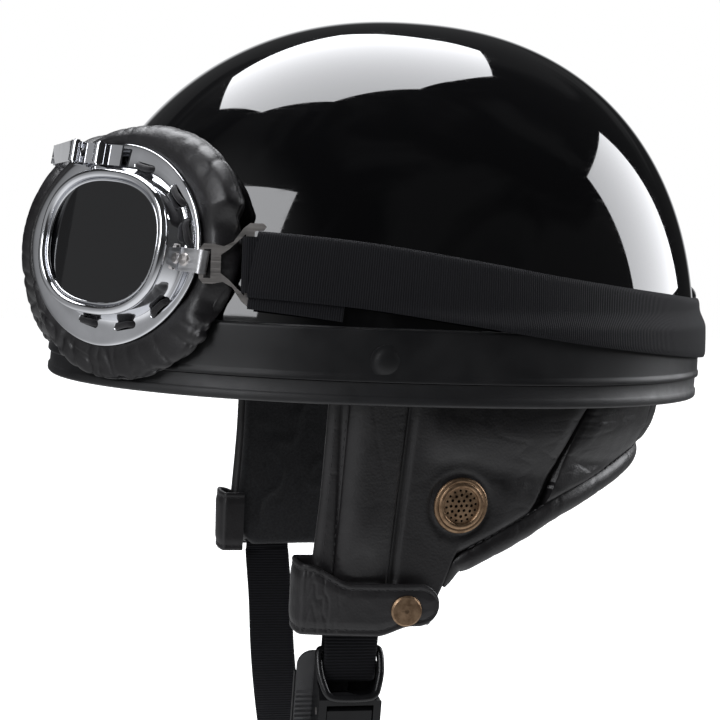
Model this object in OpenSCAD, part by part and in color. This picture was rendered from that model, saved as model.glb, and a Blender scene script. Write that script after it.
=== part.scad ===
// Open half-shell motorcycle helmet with leather ear flaps, chin strap and a pair of split goggles.
// It faces -X, the wearer's left is -Y, and the origin is the middle of the head opening, level with the rim.

/* [Shell] */
// Half the length of the outer shell at the rim
shell_a = 137; // [134:1:140]
// Half the width of the outer shell at the rim
shell_b = 113; // [110:1:116]
// Height of the crown above the rim
shell_h = 152; // [149:1:155]
// Wall of the outer shell
shell_t = 4; // [3.5:0.1:4]
// Height of the matt band round the rim
band_h = 28.5; // [27:0.5:30]
// How far the band stands proud of the shell
band_t = 2; // [1.5:0.1:2]
// Thickness of the foam liner
foam_t = 20; // [16:1:20]

/* [Goggles] */
// Half width of one goggle frame
frame_w = 44.5; // [44:0.5:45]
// Half height of one goggle frame
frame_h = 39; // [38.5:0.5:39.5]
// Turn of each frame away from straight ahead, in degrees
frame_yaw = 39; // [38:1:40]
// Height of the elastic strap
elastic_w = 24.5; // [22:0.5:26]

/* [Chin strap] */
// Width of the webbing
web_w = 21; // [20:0.5:21]
// Thickness of the webbing
web_t = 1.6; // [1.4:0.1:1.6]
// Radius of the wire of the D-ring
ring_wire_r = 1.5; // [1.3:0.1:1.5]

/* [Hidden] */

shell_black = [0.02, 0.02, 0.025];
band_black = [0.09, 0.09, 0.1];
leather = [0.07, 0.06, 0.065];
cloth = [0.05, 0.05, 0.055];
bronze = [0.42, 0.3, 0.2];
chrome = [0.8, 0.8, 0.82];
nickel = [0.5, 0.46, 0.43];
foam = [0.16, 0.16, 0.17];
smoke = [0.04, 0.04, 0.05];

plan_n = 2.2;      // exponent of the shell's outline from above
dome_n = 2.25;     // exponent of the shell's profile from the side
crown_back = 7.5;  // how far the crown lies behind the middle
gap = 0.3;         // clearance between neighbouring soft pieces
steps = 64;        // points round the shell
rows = 12;         // rings from rim to crown

// ---- shapes shared by the shell and everything that follows it ----

function spow(v, p) = sign(v) * pow(abs(v), p);
function smooth(t) = let (c = min(1, max(0, t))) c * c * (3 - 2 * c);
function mix(a, b, t) = a + (b - a) * t;
function plan(u, off) = [(shell_a + off) * spow(cos(u), 2 / plan_n), (shell_b + off) * spow(sin(u), 2 / plan_n)];
function girth(z, off) = z <= 0 ? 1 : pow(max(0, 1 - pow(z / (shell_h + off), dome_n)), 1 / dome_n);
// A point off millimetres outside the shell, at angle u and height z
function on_shell(u, z, off) = let (p = plan(u, off), g = girth(z, off))
    [p[0] * g + crown_back * max(z, 0) / shell_h, p[1] * g, z];
// The same at the profile angle v, which spaces points evenly up to the crown
function on_dome(u, v, off) = let (p = plan(u, off), g = pow(cos(v), 2 / dome_n),
    z = (shell_h + off) * pow(sin(v), 2 / dome_n)) [p[0] * g + crown_back * z / shell_h, p[1] * g, z];
function angle_of_height(z, off) = asin(pow(z / (shell_h + off), dome_n / 2));
// The plan angle, from 0 at the back to 180 at the front, at which the outline reaches x
function angle_of_x(x, off) = acos(spow(max(-1, min(1, x / (shell_a + off))), plan_n / 2));

function flat(g) = [for (row = g) for (p = row) p];

// A solid between two grids of points, outer and inner, joined round their edges
module slab(outer, inner) {
    r = len(outer);
    c = len(outer[0]);
    n = r * c;
    at = function (i, j) i * c + j;
    skin = [for (i = [0 : r - 2]) for (j = [0 : c - 2]) each
        [[at(i, j), at(i + 1, j), at(i + 1, j + 1)], [at(i, j), at(i + 1, j + 1), at(i, j + 1)],
         [n + at(i, j), n + at(i, j + 1), n + at(i + 1, j + 1)], [n + at(i, j), n + at(i + 1, j + 1), n + at(i + 1, j)]]];
    ends = [for (j = [0 : c - 2]) each
        [[at(0, j), at(0, j + 1), n + at(0, j + 1)], [at(0, j), n + at(0, j + 1), n + at(0, j)],
         [at(r - 1, j + 1), at(r - 1, j), n + at(r - 1, j)], [at(r - 1, j + 1), n + at(r - 1, j), n + at(r - 1, j + 1)]]];
    sides = [for (i = [0 : r - 2]) each
        [[at(i + 1, 0), at(i, 0), n + at(i, 0)], [at(i + 1, 0), n + at(i, 0), n + at(i + 1, 0)],
         [at(i, c - 1), at(i + 1, c - 1), n + at(i + 1, c - 1)], [at(i, c - 1), n + at(i + 1, c - 1), n + at(i, c - 1)]]];
    polyhedron(concat(flat(outer), flat(inner)), concat(skin, ends, sides));
}

// A closed bowl between two offsets from the shell, open at the height z0
module bowl(out_off, in_off, z0, c = steps, r = rows) {
    ring = function (off, i) let (v0 = angle_of_height(z0, off))
        [for (j = [0 : c - 1]) on_dome(360 * j / c, mix(v0, 86, i / r), off)];
    n = (r + 1) * c;
    top = 2 * n;
    at = function (i, j) i * c + (j % c);
    skin = [for (i = [0 : r - 1]) for (j = [0 : c - 1]) each
        [[at(i, j), at(i + 1, j), at(i + 1, j + 1)], [at(i, j), at(i + 1, j + 1), at(i, j + 1)],
         [n + at(i, j), n + at(i, j + 1), n + at(i + 1, j + 1)], [n + at(i, j), n + at(i + 1, j + 1), n + at(i + 1, j)]]];
    caps = [for (j = [0 : c - 1]) each
        [[at(r, j), top, at(r, j + 1)], [n + at(r, j), n + at(r, j + 1), top + 1],
         [at(0, j), at(0, j + 1), n + at(0, j + 1)], [at(0, j), n + at(0, j + 1), n + at(0, j)]]];
    polyhedron(concat(flat([for (i = [0 : r]) ring(out_off, i)]), flat([for (i = [0 : r]) ring(in_off, i)]),
        [[crown_back, 0, shell_h + out_off], [crown_back, 0, shell_h + in_off]]), concat(skin, caps));
}

// A closed profile of [offset, height] points, counter-clockwise, carried round the shell from angle a to b
module moulding(profile, a = 0, b = 360, c = steps) {
    whole = b - a >= 360;
    m = len(profile);
    cols = whole ? c : c + 1;
    at = function (i, j) (i % m) * cols + (j % cols);
    skin = [for (i = [0 : m - 1]) for (j = [0 : c - 1]) each
        [[at(i, j), at(i + 1, j), at(i + 1, j + 1)], [at(i, j), at(i + 1, j + 1), at(i, j + 1)]]];
    caps = whole ? [] : [[for (i = [m - 1 : -1 : 0]) at(i, 0)], [for (i = [0 : m - 1]) at(i, c)]];
    polyhedron([for (p = profile) for (j = [0 : cols - 1]) on_shell(a + (b - a) * j / c, p[1], p[0])],
        concat(skin, caps));
}

module both_sides() {
    children();
    mirror([0, 1, 0]) children();
}

// ---- shell ----

module outer_shell() {
    color(shell_black) bowl(0, -shell_t, 2.2);
}

module rim_band() {
    o = gap / 2;
    color(band_black) moulding([[o, 9.2], [band_t, 9.2], [band_t + 0.5, 8.4], [band_t + 0.5, 10.4],
        [band_t, 11], [band_t, band_h - 1], [band_t - 1, band_h], [o, band_h]]);
}

module edge_trim() {
    o = gap / 2;
    i = -shell_t - gap / 2;
    color(band_black) moulding([[i - 1.6, 0.6], [i - 0.8, -0.6], [o + 1.2, -0.6], [band_t, 0.4], [band_t, 2.6],
        [band_t - 0.7, 3.2], [band_t - 0.7, 8.2], [o, 8.2], [o, 1.9], [i, 1.9], [i - 0.1, 6.2], [i - 1.6, 6.2]]);
}

foam_out = -7;
foam_in = foam_out - foam_t;
pocket_x = [-44, -6];   // where the chin strap runs up between shell and foam

module foam_liner() {
    color(foam) difference() {
        bowl(foam_out, foam_in, 7.5, 48, 10);
        both_sides() translate([pocket_x[0], -shell_b, 0])
            cube([pocket_x[1] - pocket_x[0], 24, 12]);
        // room for the inner heads of the strap rivets
        both_sides() translate([rivet_x, -shell_b, rivet_z]) rotate([-90, 0, 0])
            cylinder(r = 5.8, h = -rivet_inner + gap + 2.4, $fn = 48);
    }
}

module crown_liner() {
    color(cloth) bowl(foam_in - 0.9, foam_in - 5, 14, 48, 10);
}

module sweatband() {
    o = foam_in - gap;
    color(leather) moulding([[o - 3.5, 0.5], [o, 1.5], [o + 0.0, 12], [o - 5, 12.8], [o - 7, 10], [o - 7, 3]], c = 48);
}

// ---- leather skirt: two ear flaps and the neck curtain ----

flap_bottom = -88;
flap_front_x = -42;
skirt_t = 6;
skirt_off = -13;

// The skirt hangs inwards, a little at the sides and more at the back
function skirt_lean(u) = 0.06 + 0.34 * pow(max(0, cos(u)), 2);
function skirt_point(u, z, off) = let (o = skirt_off + off + min(z, 0) * skirt_lean(u), p = plan(u, o)) [p[0], p[1], z];
// Height of the skirt's lower edge where the shell's outline reaches x
function hem_height(x) = x < 4 ? flap_bottom : x < 14 ? mix(flap_bottom, -69, smooth((x - 4) / 10))
    : x < 60 ? mix(-69, -47, (x - 14) / 46) : x < 100 ? mix(-47, -34, (x - 60) / 40) : mix(-34, -29, (x - 100) / 25);
hem_r = 5.5;

// Angles are measured from the back, and the left side is negative
function flap_front(z) = angle_of_x(flap_front_x + min(0, z) * 0.05 + (z < flap_bottom + 12 ?
    pow((flap_bottom + 12 - z) / 12, 2) * 9 : 0), skirt_off);
function flap_seam(z) = angle_of_x(69 + min(0, z) * 0.53, skirt_off);
function skirt_top(u) = let (x = plan(u, skirt_off)[0]) x > pocket_x[0] && x < pocket_x[1] ? -1.6 : 6.5;
function skirt_low(u) = let (x = plan(u, skirt_off)[0]) hem_height(x) + (x < 4 ? 0 : 2 * hem_r + 3 * gap);

flap_rows = 8;
flap_cols = 20;

// Part of one ear flap between two depths under the leather's outer face
module flap_sheet(out, in) {
    grid = function (off) [for (i = [0 : flap_rows]) [for (j = [0 : flap_cols])
        let (u0 = mix(flap_front(0), flap_seam(0), j / flap_cols),
            z0 = mix(skirt_low(u0), skirt_top(u0), i / flap_rows),
            u = mix(flap_front(z0), flap_seam(z0) + 0.3, j / flap_cols),
            z = mix(skirt_low(u), skirt_top(u0), i / flap_rows))
        skirt_point(-u, z, off)]];
    slab(grid(-out), grid(-in));
}

module ear_flap() {
    color(leather) flap_sheet(0, skirt_t);
}

lining_depth = skirt_t + web_t + 1.4;

module flap_lining() {
    color(cloth) flap_sheet(lining_depth, lining_depth + 3);
}

// The padded roll sewn on the front of the flap, under the tab at its lower end
bolster_x = [-34, -11];
bolster_z = [-72, -1.6];

module bolster() {
    cols = 8;
    n = 8;
    height = function (s, k) gap + (5 - 2.2 * smooth((0.35 - s) / 0.35)) * pow(sin(180 * k), 0.6);
    grid = function (full) [for (i = [0 : n]) let (s = i / n, z = mix(bolster_z[0], bolster_z[1], s),
        x0 = bolster_x[0] - 3.5 * (1 - s), x1 = bolster_x[1] - 5 * (1 - s))
        [for (j = [0 : cols]) let (k = j / cols)
            skirt_point(-angle_of_x(mix(x0, x1, k), skirt_off), z, full ? height(s, k) + 0.3 : gap)]];
    color(leather) slab(grid(true), grid(false));
}

module neck_curtain() {
    cols = 36;
    n = 5;
    grid = function (off) [for (i = [0 : n]) [for (j = [0 : cols])
        let (side = j / cols * 2 - 1, u0 = abs(side) * flap_seam(0),
            z0 = mix(skirt_low(u0), 6.5, i / n),
            u = abs(side) * (flap_seam(z0) - 0.3),
            z = mix(skirt_low(u), 6.5, i / n))
        skirt_point(sign(side) * u, z, off)]];
    color(leather) slab(grid(0), grid(-skirt_t - 2));
}

// The rolled hem under the flaps and the curtain, an eight-sided tube
module hem_roll() {
    cols = 48;
    sides = 8;
    start = angle_of_x(16, skirt_off);
    centre = function (j) let (side = j / cols * 2 - 1, u = abs(side) * start, x = plan(u, skirt_off)[0])
        skirt_point(sign(side) * u, hem_height(x) + hem_r, -skirt_t / 2 - 0.5);
    pts = [for (j = [0 : cols]) let (c = centre(j), a = centre(max(0, j - 1)), b = centre(min(cols, j + 1)),
        t = (b - a) / norm(b - a), side = cross(t, [0, 0, 1]), s = side / norm(side), w = cross(s, t),
        taper = sin(mix(35, 90, min(1, min(j, cols - j) / 3))))
        [for (k = [0 : sides - 1]) c + (s * cos(360 * k / sides) * 0.85 + w * sin(360 * k / sides)) * hem_r * taper]];
    at = function (j, k) j * sides + k % sides;
    color(leather) polyhedron(flat(pts), concat(
        [for (j = [0 : cols - 1]) for (k = [0 : sides - 1]) each
            [[at(j, k), at(j, k + 1), at(j + 1, k + 1)], [at(j, k), at(j + 1, k + 1), at(j + 1, k)]]],
        [[for (k = [sides - 1 : -1 : 0]) at(0, k)], [for (k = [0 : sides - 1]) at(cols, k)]]));
}

// ---- vents, rivets and snaps ----

// Places a child at x, z on the left side, its +Z pointing out of the leather's face at the depth given
module on_flap(x, z, depth = 0) {
    p = skirt_point(-angle_of_x(x, skirt_off), z, depth);
    q = skirt_point(-angle_of_x(x + 2, skirt_off), z, depth);
    lean = atan(skirt_lean(-angle_of_x(x, skirt_off)));
    translate(p) rotate([0, 0, atan2(q[1] - p[1], q[0] - p[0])]) rotate([90 + lean, 0, 0]) children();
}

vent = [12, -40];
vent_r = 11;
vent_hole_r = 7;

module vent_rings() {
    color(bronze) both_sides() on_flap(vent[0], vent[1], gap + 0.3)
        rotate_extrude($fn = 64) polygon([[vent_hole_r, 0], [vent_r, 0], [vent_r, 0.6], [vent_r - 1, 1.6],
            [vent_hole_r + 1, 1.8], [vent_hole_r, 1.2]]);
}

module vent_grilles() {
    hole_r = 0.75;
    color(bronze) both_sides() on_flap(vent[0], vent[1], gap + 0.3) difference() {
        cylinder(r = vent_hole_r - 0.1, h = 0.6, $fn = 64);
        for (ring = [[0, 1, 0], [2, 6, 30], [4, 12, 15]]) for (i = [1 : ring[1]])
            rotate(360 * i / ring[1] + ring[2]) translate([ring[0], 0, -1]) cylinder(r = hole_r, h = 3, $fn = 16);
        translate([0, 0, -1]) difference() {
            cylinder(r = vent_hole_r - 0.6, h = 1.2, $fn = 64);
            cylinder(r = vent_hole_r - 1.6, h = 1.2, $fn = 64);
        }
    }
}

rivet_x = -25;
rivet_z = 16;
rivet_inner = -9.6;   // how far the rivet's inner end lies inside the shell's face

module strap_rivets() {
    y = on_shell(-angle_of_x(rivet_x, 0), rivet_z, 0)[1];
    color(band_black) both_sides() translate([rivet_x, y, rivet_z]) rotate([90, 0, 0]) {
        translate([0, 0, band_t + 0.4]) rotate_extrude($fn = 48) polygon([[0, 0], [5, 0], [4.4, 0.7], [2.5, 1.1], [0, 1.2]]);
        translate([0, 0, rivet_inner + 1]) cylinder(r = 1.9, h = band_t - rivet_inner - 0.5, $fn = 32);
        translate([0, 0, rivet_inner]) cylinder(r = 4.5, h = 1, $fn = 48);
    }
}

snap = [-9, -80];
snap_r = 6;
tab_depth = 4.6;   // how far the tab's inner face stands off the flap
tab_t = 2.2;

module flap_snap_studs() {
    color(bronze) both_sides() on_flap(snap[0], snap[1], gap)
        rotate_extrude($fn = 48) polygon([[0, 0], [4.5, 0], [4.5, 0.6], [1.9, 0.8], [1.7, 1.4], [1.9, 2], [1.4, 2.4], [0, 2.4]]);
}

module tab_snap() {
    color(bronze) on_flap(snap[0], snap[1], tab_depth) {
        translate([0, 0, tab_t + 0.1]) rotate_extrude($fn = 64)
            polygon([[0, 0], [snap_r, 0], [snap_r, 0.7], [snap_r - 0.7, 1.3], [0, 1.5]]);
        translate([0, 0, -0.2]) cylinder(r = 2.2, h = tab_t + 0.4, $fn = 32);
        translate([0, 0, -1.9]) difference() {
            cylinder(r = 4.2, h = 1.8, $fn = 48);
            translate([0, 0, -1]) cylinder(r = 2.3, h = 2, $fn = 32);
        }
    }
}

// ---- leather tab that holds the flap to the chin strap ----

tab_hinge_x = -47.5;
tab_clear = 1.9;   // from the hinge line to the tab's end there
tab_end_x = 4;
tab_z = [-90.5, -64];

// Upper and lower edge of the tab at x
function tab_low(x) = tab_z[0] + 4 * smooth((x + 20) / 14);
function tab_high(x) = mix(tab_z[1] + 1, tab_z[1] - 6, smooth((x - tab_hinge_x) / 18));

module tab_sheet(xs, depths, cols) {
    // the free end is rounded in z
    grid = function (off) [for (i = [0 : 6]) [for (j = [0 : cols])
        let (x = mix(xs[0], xs[1], j / cols), e = max(0, x - (tab_end_x - 8)) / 8,
            round = 1 - sqrt(max(0, 1 - e * e * 0.97)), mid = (tab_low(x) + tab_high(x)) / 2,
            z = mix(mix(tab_low(x), mid, round), mix(tab_high(x), mid, round), i / 6))
        skirt_point(-angle_of_x(x, skirt_off), z, off)]];
    slab(grid(depths[1]), grid(depths[0]));
}

module strap_tab() {
    color(leather) difference() {
        tab_sheet([tab_hinge_x + tab_clear, tab_end_x], [tab_depth, tab_depth + tab_t], 14);
        on_flap(snap[0], snap[1], tab_depth - 1) cylinder(r = 2.3, h = tab_t + 3, $fn = 32);
    }
}

// The tab's fixed part goes round the flap's front edge, from the hinge line to the lining side
module tab_wrap() {
    outer_y = skirt_point(-angle_of_x(tab_hinge_x, skirt_off), -78, tab_depth)[1];
    inner_y = skirt_point(-angle_of_x(-40, skirt_off), -78, -lining_depth - 3 - gap - 0.9)[1];
    mid = (outer_y + inner_y) / 2;
    half = (inner_y - outer_y) / 2;
    cols = 12;
    path = function (j, o) let (a = mix(0, 180, min(1, j / (cols - 2))), run = max(0, j - (cols - 2)) * 4)
        [tab_hinge_x - (half * 0.45 + o) * sin(a) + run, mid - (half + o) * cos(a)];
    grid = function (o) [for (i = [0 : 4]) [for (j = [0 : cols]) let (p = path(cols - j, o))
        [p[0], p[1], mix(tab_low(-49), tab_high(-49), i / 4)]]];
    color(leather) slab(grid(0), grid(tab_t));
}

// ---- curves and straps ----

function spline(p, t) = let (n = len(p) - 1, i = min(n - 1, floor(t * n)), f = t * n - i,
    a = p[max(0, i - 1)], b = p[i], c = p[i + 1], d = p[min(n, i + 2)])
    b + (c - a) * f / 2 + (2 * a - 5 * b + 4 * c - d) * f * f / 2 + (3 * b - a - 3 * c + d) * f * f * f / 2;

// A flat strap whose middle runs through the points [x, y, z, turn], where turn is the angle
// in degrees between its width and X
module webbing(points, per_point, width, thick) {
    cols = (len(points) - 1) * per_point;
    all = [for (j = [0 : cols]) spline(points, j / cols)];
    mid = [for (p = all) [p[0], p[1], p[2]]];
    wide = [for (p = all) [cos(p[3]), sin(p[3]), 0]];
    out = function (j) let (d = mid[min(cols, j + 1)] - mid[max(0, j - 1)], n = cross(wide[j], d)) n / norm(n);
    grid = function (o) [for (i = [0, 1]) [for (j = [0 : cols])
        mid[j] + wide[j] * width * (i - 0.5) + out(j) * o]];
    slab(grid(-thick / 2), grid(thick / 2));
}

// A straight piece of round wire with round ends
module rod(a, b, r) {
    d = b - a;
    translate(a) rotate([0, acos(d[2] / norm(d)), atan2(d[1], d[0])]) cylinder(r = r, h = norm(d), $fn = 32);
    for (p = [a, b]) translate(p) sphere(r = r * 1.03, $fn = 32);
}

// ---- chin strap ----

strap_x = -26;
buckle_at = [-26, -81, -109];   // middle of the bar that the strap hangs the buckle from
buckle_lean = 7;                // the buckle's lower end hangs inwards

// The buckle's own frame: x across, y inwards through its thickness, z up
module in_buckle() {
    translate(buckle_at) rotate([buckle_lean, 0, 0]) children();
}
function from_buckle(p) = buckle_at + [p[0], p[1] * cos(buckle_lean) - p[2] * sin(buckle_lean),
    p[1] * sin(buckle_lean) + p[2] * cos(buckle_lean)];

web_depth = skirt_t + 0.9 + web_t / 2;   // middle of the webbing, inside the flap
web_turn = -7.6;                         // the webbing lies flat against the curved shell and flap
function rivet_y(z) = on_shell(-angle_of_x(strap_x, 0), z, -shell_t - 1.1 - web_t / 2)[1];
function web_y(z) = skirt_point(-angle_of_x(strap_x, skirt_off), z, -web_depth)[1];
// From the rivet down inside the flap, on the left
upper_web = [[strap_x, rivet_y(22), 22, web_turn], [strap_x, rivet_y(13.5), 13.5, web_turn],
    [strap_x, rivet_y(13.5) + 4, 7, web_turn], [strap_x, web_y(0) - 4.4, 3.8, web_turn],
    [strap_x, web_y(0) - 0.6, 1.4, web_turn], [strap_x, web_y(-3.4), -3.4, web_turn],
    [strap_x, web_y(-40), -40, web_turn], [strap_x, web_y(-86), -86, web_turn]];
bar_r = 2;
fold = bar_r + web_t / 2 + 0.15;         // radius of the middle of the webbing round a bar

module chin_strap_left() {
    round_bar = [for (p = [[-fold, 8], [-fold, 0], [-fold * 0.7, -fold * 0.7], [0, -fold], [fold * 0.7, -fold * 0.7],
        [fold, 0], [fold, 8], [fold, 15]]) [each from_buckle([0, p[0], p[1]]), 0]];
    color(cloth) webbing(concat(upper_web, round_bar), 3, web_w, web_t);
}

ring_z = 10;         // the ring's bar, between the two layers of webbing
ring_half = 12.4;
ring_depth = 20;
wall_x = 12.5;
collar_y = -9;
ring_rest = asin((-collar_y + ring_wire_r + 0.1) / ring_depth);

module d_ring() {
    low = ring_half - 1.6;
    outline = [[-low + 4.5, -ring_depth], [-low + 1.3, -ring_depth + 1.4], [-low, -ring_depth + 4.8],
        [-ring_half, -9], [-ring_half, 0]];
    color(band_black) in_buckle() translate([0, 0, ring_z]) rotate([-ring_rest, 0, 0]) {
        both = [for (p = outline) [p[0], 0, p[1]]];
        other = [for (i = [len(outline) - 1 : -1 : 0]) [-outline[i][0], 0, outline[i][1]]];
        path = concat(both, other);
        for (i = [0 : len(path) - 1]) rod(path[i], path[(i + 1) % len(path)], ring_wire_r);
    }
}

pin_at = [-4.5, -14];   // y and z of the lever's pin
pin_r = 1.5;
lever_half = 9;
housing_low = -34;
channel = [4.5, 6.6];   // y of the slot that the toothed tongue runs in
tongue_x = [-19, 2];
teeth_low = -37;

// Extrudes a [y, z] outline along x
module across(x0, x1) {
    translate([x0, 0, 0]) rotate([90, 0, 90]) linear_extrude(x1 - x0) children();
}

module buckle_housing() {
    color(band_black) in_buckle() difference() {
        union() {
            difference() {
                across(-wall_x, wall_x) polygon([[collar_y, housing_low], [collar_y, -8], [-6.2, -4], [-3.2, -3],
                    [-3.2, 0.5], [-2.2, 2.2], [0, 3.2], [8.6, 3.2], [8.6, housing_low]]);
                // room for the folded webbing, and below it for the lever
                translate([-web_w / 2 - 0.4, -7.2, -9]) cube([web_w + 0.8, channel[0] - 0.4 + 7.2, 20]);
                translate([-lever_half - 0.4, -20, housing_low - 1]) cube([2 * lever_half + 0.8, 23.6, -10.4 - housing_low + 1]);
                translate([-wall_x - 1, 3.4, housing_low - 1]) cube([wall_x + 1 + tongue_x[1] + 0.3, channel[1] - 3.4, 50]);
                // the collar's upper edge falls towards the back
                translate([-wall_x - 1, -20, -2.4]) rotate([0, 14, 0]) cube([40, 16.5, 12]);
            }
            translate([tongue_x[0] - 0.5, channel[1], housing_low]) cube([8, 2, 32]);
            rotate([0, 90, 0]) translate([0, 0, -wall_x + 0.5]) cylinder(r = bar_r, h = 2 * wall_x - 1, $fn = 48);
        }
        translate([-wall_x - 1, pin_at[0], pin_at[1]]) rotate([0, 90, 0])
            cylinder(r = pin_r, h = 2 * wall_x + 2, $fn = 48);
    }
}

module lever_pin() {
    color(nickel) in_buckle() translate([-wall_x, pin_at[0], pin_at[1]]) rotate([0, 90, 0])
        cylinder(r = pin_r, h = 2 * wall_x, $fn = 48);
}

module lever_spring() {
    color(nickel) in_buckle() translate([-2.4, pin_at[0], pin_at[1]]) rotate([0, 90, 0]) difference() {
        cylinder(r = pin_r + 0.5, h = 4.8, $fn = 32);
        translate([0, 0, -1]) cylinder(r = pin_r + 0.08, h = 7, $fn = 32);
    }
}

module release_lever() {
    boss = 2.9;
    pawl_z = -25;
    color(band_black) in_buckle() difference() {
        union() {
            across(-lever_half, lever_half) polygon([[-8.4, -12.8], [-6.9, -11.8], [-6.6, -34], [-8.6, -41],
                [-10.4, -41.5], [-10.6, -40.5], [-9, -34], [-8.6, -22]]);
            for (x = [-lever_half, 3]) translate([x, 0, 0]) {
                across(0, 6) polygon([[-6.8, -12], [-4.5, -11.3], [-4.5, -16.7], [-6.8, -17.5]]);
                translate([0, pin_at[0], pin_at[1]]) rotate([0, 90, 0]) cylinder(r = boss, h = 6, $fn = 48);
            }
            // pawl that holds the tongue's teeth
            across(-6, 1.5) polygon([[-6.8, pawl_z + 5], [0, pawl_z + 3], [channel[0] - 1.1, pawl_z],
                [0, pawl_z - 1], [-6.8, pawl_z - 4]]);
        }
        translate([-lever_half - 1, pin_at[0], pin_at[1]]) rotate([0, 90, 0])
            cylinder(r = pin_r + 0.06, h = 2 * lever_half + 2, $fn = 48);
    }
}

tongue_tip = 7;
tail = [-46, -38];      // z of the tongue's wider tail, which the webbing is looped through
tongue_t = 1.8;

module buckle_tongue() {
    pitch = 2;
    y0 = channel[1] - 0.2;
    y1 = y0 - tongue_t;
    mid = (tongue_x[0] + tongue_x[1]) / 2;
    color(band_black) in_buckle() {
        intersection() {
            across(tongue_x[0], tongue_x[1]) polygon(concat([[y0, tail[1] - 1], [y0, tongue_tip]],
                [[y1, tongue_tip], [y1, -9]],
                [for (z = [-10 : -pitch : teeth_low + pitch]) each [[y1 - 0.8, z], [y1, z - pitch * 0.9]]],
                [[y1, tail[1] - 1]]));
            // the upper end is rounded
            translate([0, y0 + 1, 0]) rotate([90, 0, 0]) linear_extrude(8) union() {
                translate([tongue_x[0], tail[1] - 2]) square([tongue_x[1] - tongue_x[0], tongue_tip - tail[1] - 4]);
                for (x = [tongue_x[0] + 6, tongue_x[1] - 6]) translate([x, tongue_tip - 6]) circle(r = 6, $fn = 48);
                translate([tongue_x[0] + 6, tongue_tip - 6]) square([tongue_x[1] - tongue_x[0] - 12, 6]);
            }
        }
        difference() {
            translate([mid - 13, y1 - 0.4, tail[0]]) cube([26, tongue_t + 0.4, tail[1] - tail[0]]);
            translate([mid - web_w / 2 - 0.4, y1 - 1, tail[0] + 2.6]) cube([web_w + 0.8, 5, 3]);
        }
    }
}

// From the tongue's tail under the chin and up to the right-hand rivet
module chin_strap_right() {
    mid = (tongue_x[0] + tongue_x[1]) / 2;
    bar_y = channel[1] - 0.4 - tongue_t / 2;
    bar_z = tail[0] + 1.2;
    round_bar = [for (p = [[-2.2, -9], [-2.4, -1], [-2.1, 2.0], [0, 3.2], [2.1, 2.0], [2.4, -1], [1.8, -9]])
        [each from_buckle([mid, bar_y + p[0], bar_z + p[1]]), 0]];
    under = [[-33, -58, -171, 0], [-31, -40, -178, 0], [-29, -18, -181, 0], [-27, 6, -180, 0], [-25.5, 30, -173, 0],
        [-25, 52, -157, 0], [-25, 68, -136, 0], [-25, 78, -113, 0], [strap_x, -web_y(-84) - 1, -93, 0]];
    up = [for (i = [len(upper_web) - 1 : -1 : 0]) let (p = upper_web[i]) [p[0], -p[1], p[2], -p[3]]];
    color(cloth) webbing(concat(round_bar, under, up), 3, web_w, web_t);
}

// ---- keeper at the back, which holds the goggles' strap down ----

keeper_w = 25;
keeper_t = 2.2;
keeper_snap_z = 55;
keeper_hinge = [on_shell(0, 0, band_t + 3.4)[0], 0, -2.4];

// How far the strap and the keeper stand off the shell at height z
function strap_off(z) = 0.9 + 2.2 * smooth((37 - z) / 8);
strap_t = 2;
function keeper_off(z) = z < 9 ? mix(3.2, 5.6, smooth((z - 3) / 6)) : mix(5.6, 1, smooth((z - 41) / 7));

module keeper_snap_place(off) {
    a = on_shell(0, keeper_snap_z - 2, off);
    b = on_shell(0, keeper_snap_z + 2, off);
    translate((a + b) / 2) rotate([0, 90 - atan2(a[0] - b[0], b[2] - a[2]), 0]) children();
}

module strap_keeper() {
    n = 16;
    top = 66;
    grid = function (o) [for (i = [0 : n]) let (z = mix(-2, top, i / n), e = max(0, z - (top - 8)) / 8,
        w = keeper_w / 2 * sqrt(max(0.1, 1 - e * e * 0.9)), p = on_shell(0, z, keeper_off(z) + o))
        [for (j = [-2 : 2]) [p[0] - abs(j) * 0.12, w * j / 2, z]]];
    color(leather) difference() {
        slab(grid(keeper_t), grid(0));
        keeper_snap_place(1) translate([0, 0, -2]) cylinder(r = 2.35, h = 6, $fn = 32);
    }
}

module keeper_anchor() {
    path = [[-11, 4.5], [-10.6, -2.5], [-6, -4.6], [1.5, -4.8], [4.6, -4.2]];
    grid = function (up) [for (p = path) [for (j = [-1, 1])
        [shell_a + p[0] + (p == path[0] ? up : 0), keeper_w / 2 * j, p[1] + (p == path[0] ? 0 : up)]]];
    color(leather) slab(grid(0), grid(keeper_t - 0.6));
}

module keeper_snap() {
    color(band_black) keeper_snap_place(1) {
        translate([0, 0, keeper_t + 0.3]) rotate_extrude($fn = 64) polygon([[0, 0], [6.5, 0], [6.5, 0.7], [5.4, 1.6], [0, 2]]);
        translate([0, 0, -0.1]) cylinder(r = 2.2, h = keeper_t + 0.6, $fn = 32);
    }
}

module keeper_stud() {
    color(band_black) keeper_snap_place(0) translate([0, 0, -shell_t - 1]) cylinder(r = 1.9, h = shell_t + 1.7, $fn = 32);
}

// ---- goggles ----

frame_at = [-121, -59, 54.2];
frame_pitch = 8;
frame_roll = -3;

// The left frame's own frame: x towards the temple, y up, z outwards through the lens
module in_frame() {
    translate(frame_at) rotate([90 - frame_pitch, 0, frame_yaw - 90]) rotate([0, 0, frame_roll]) children();
}
frame_x = let (c = cos(frame_roll), s = sin(frame_roll)) c * [sin(frame_yaw), -cos(frame_yaw), 0]
    + s * [cos(frame_yaw) * sin(frame_pitch), sin(frame_yaw) * sin(frame_pitch), cos(frame_pitch)];
frame_n = [-cos(frame_yaw) * cos(frame_pitch), -sin(frame_yaw) * cos(frame_pitch), sin(frame_pitch)];
frame_y = cross(frame_n, frame_x);
function from_frame(p) = frame_at + p[0] * frame_x + p[1] * frame_y + p[2] * frame_n;

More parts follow.
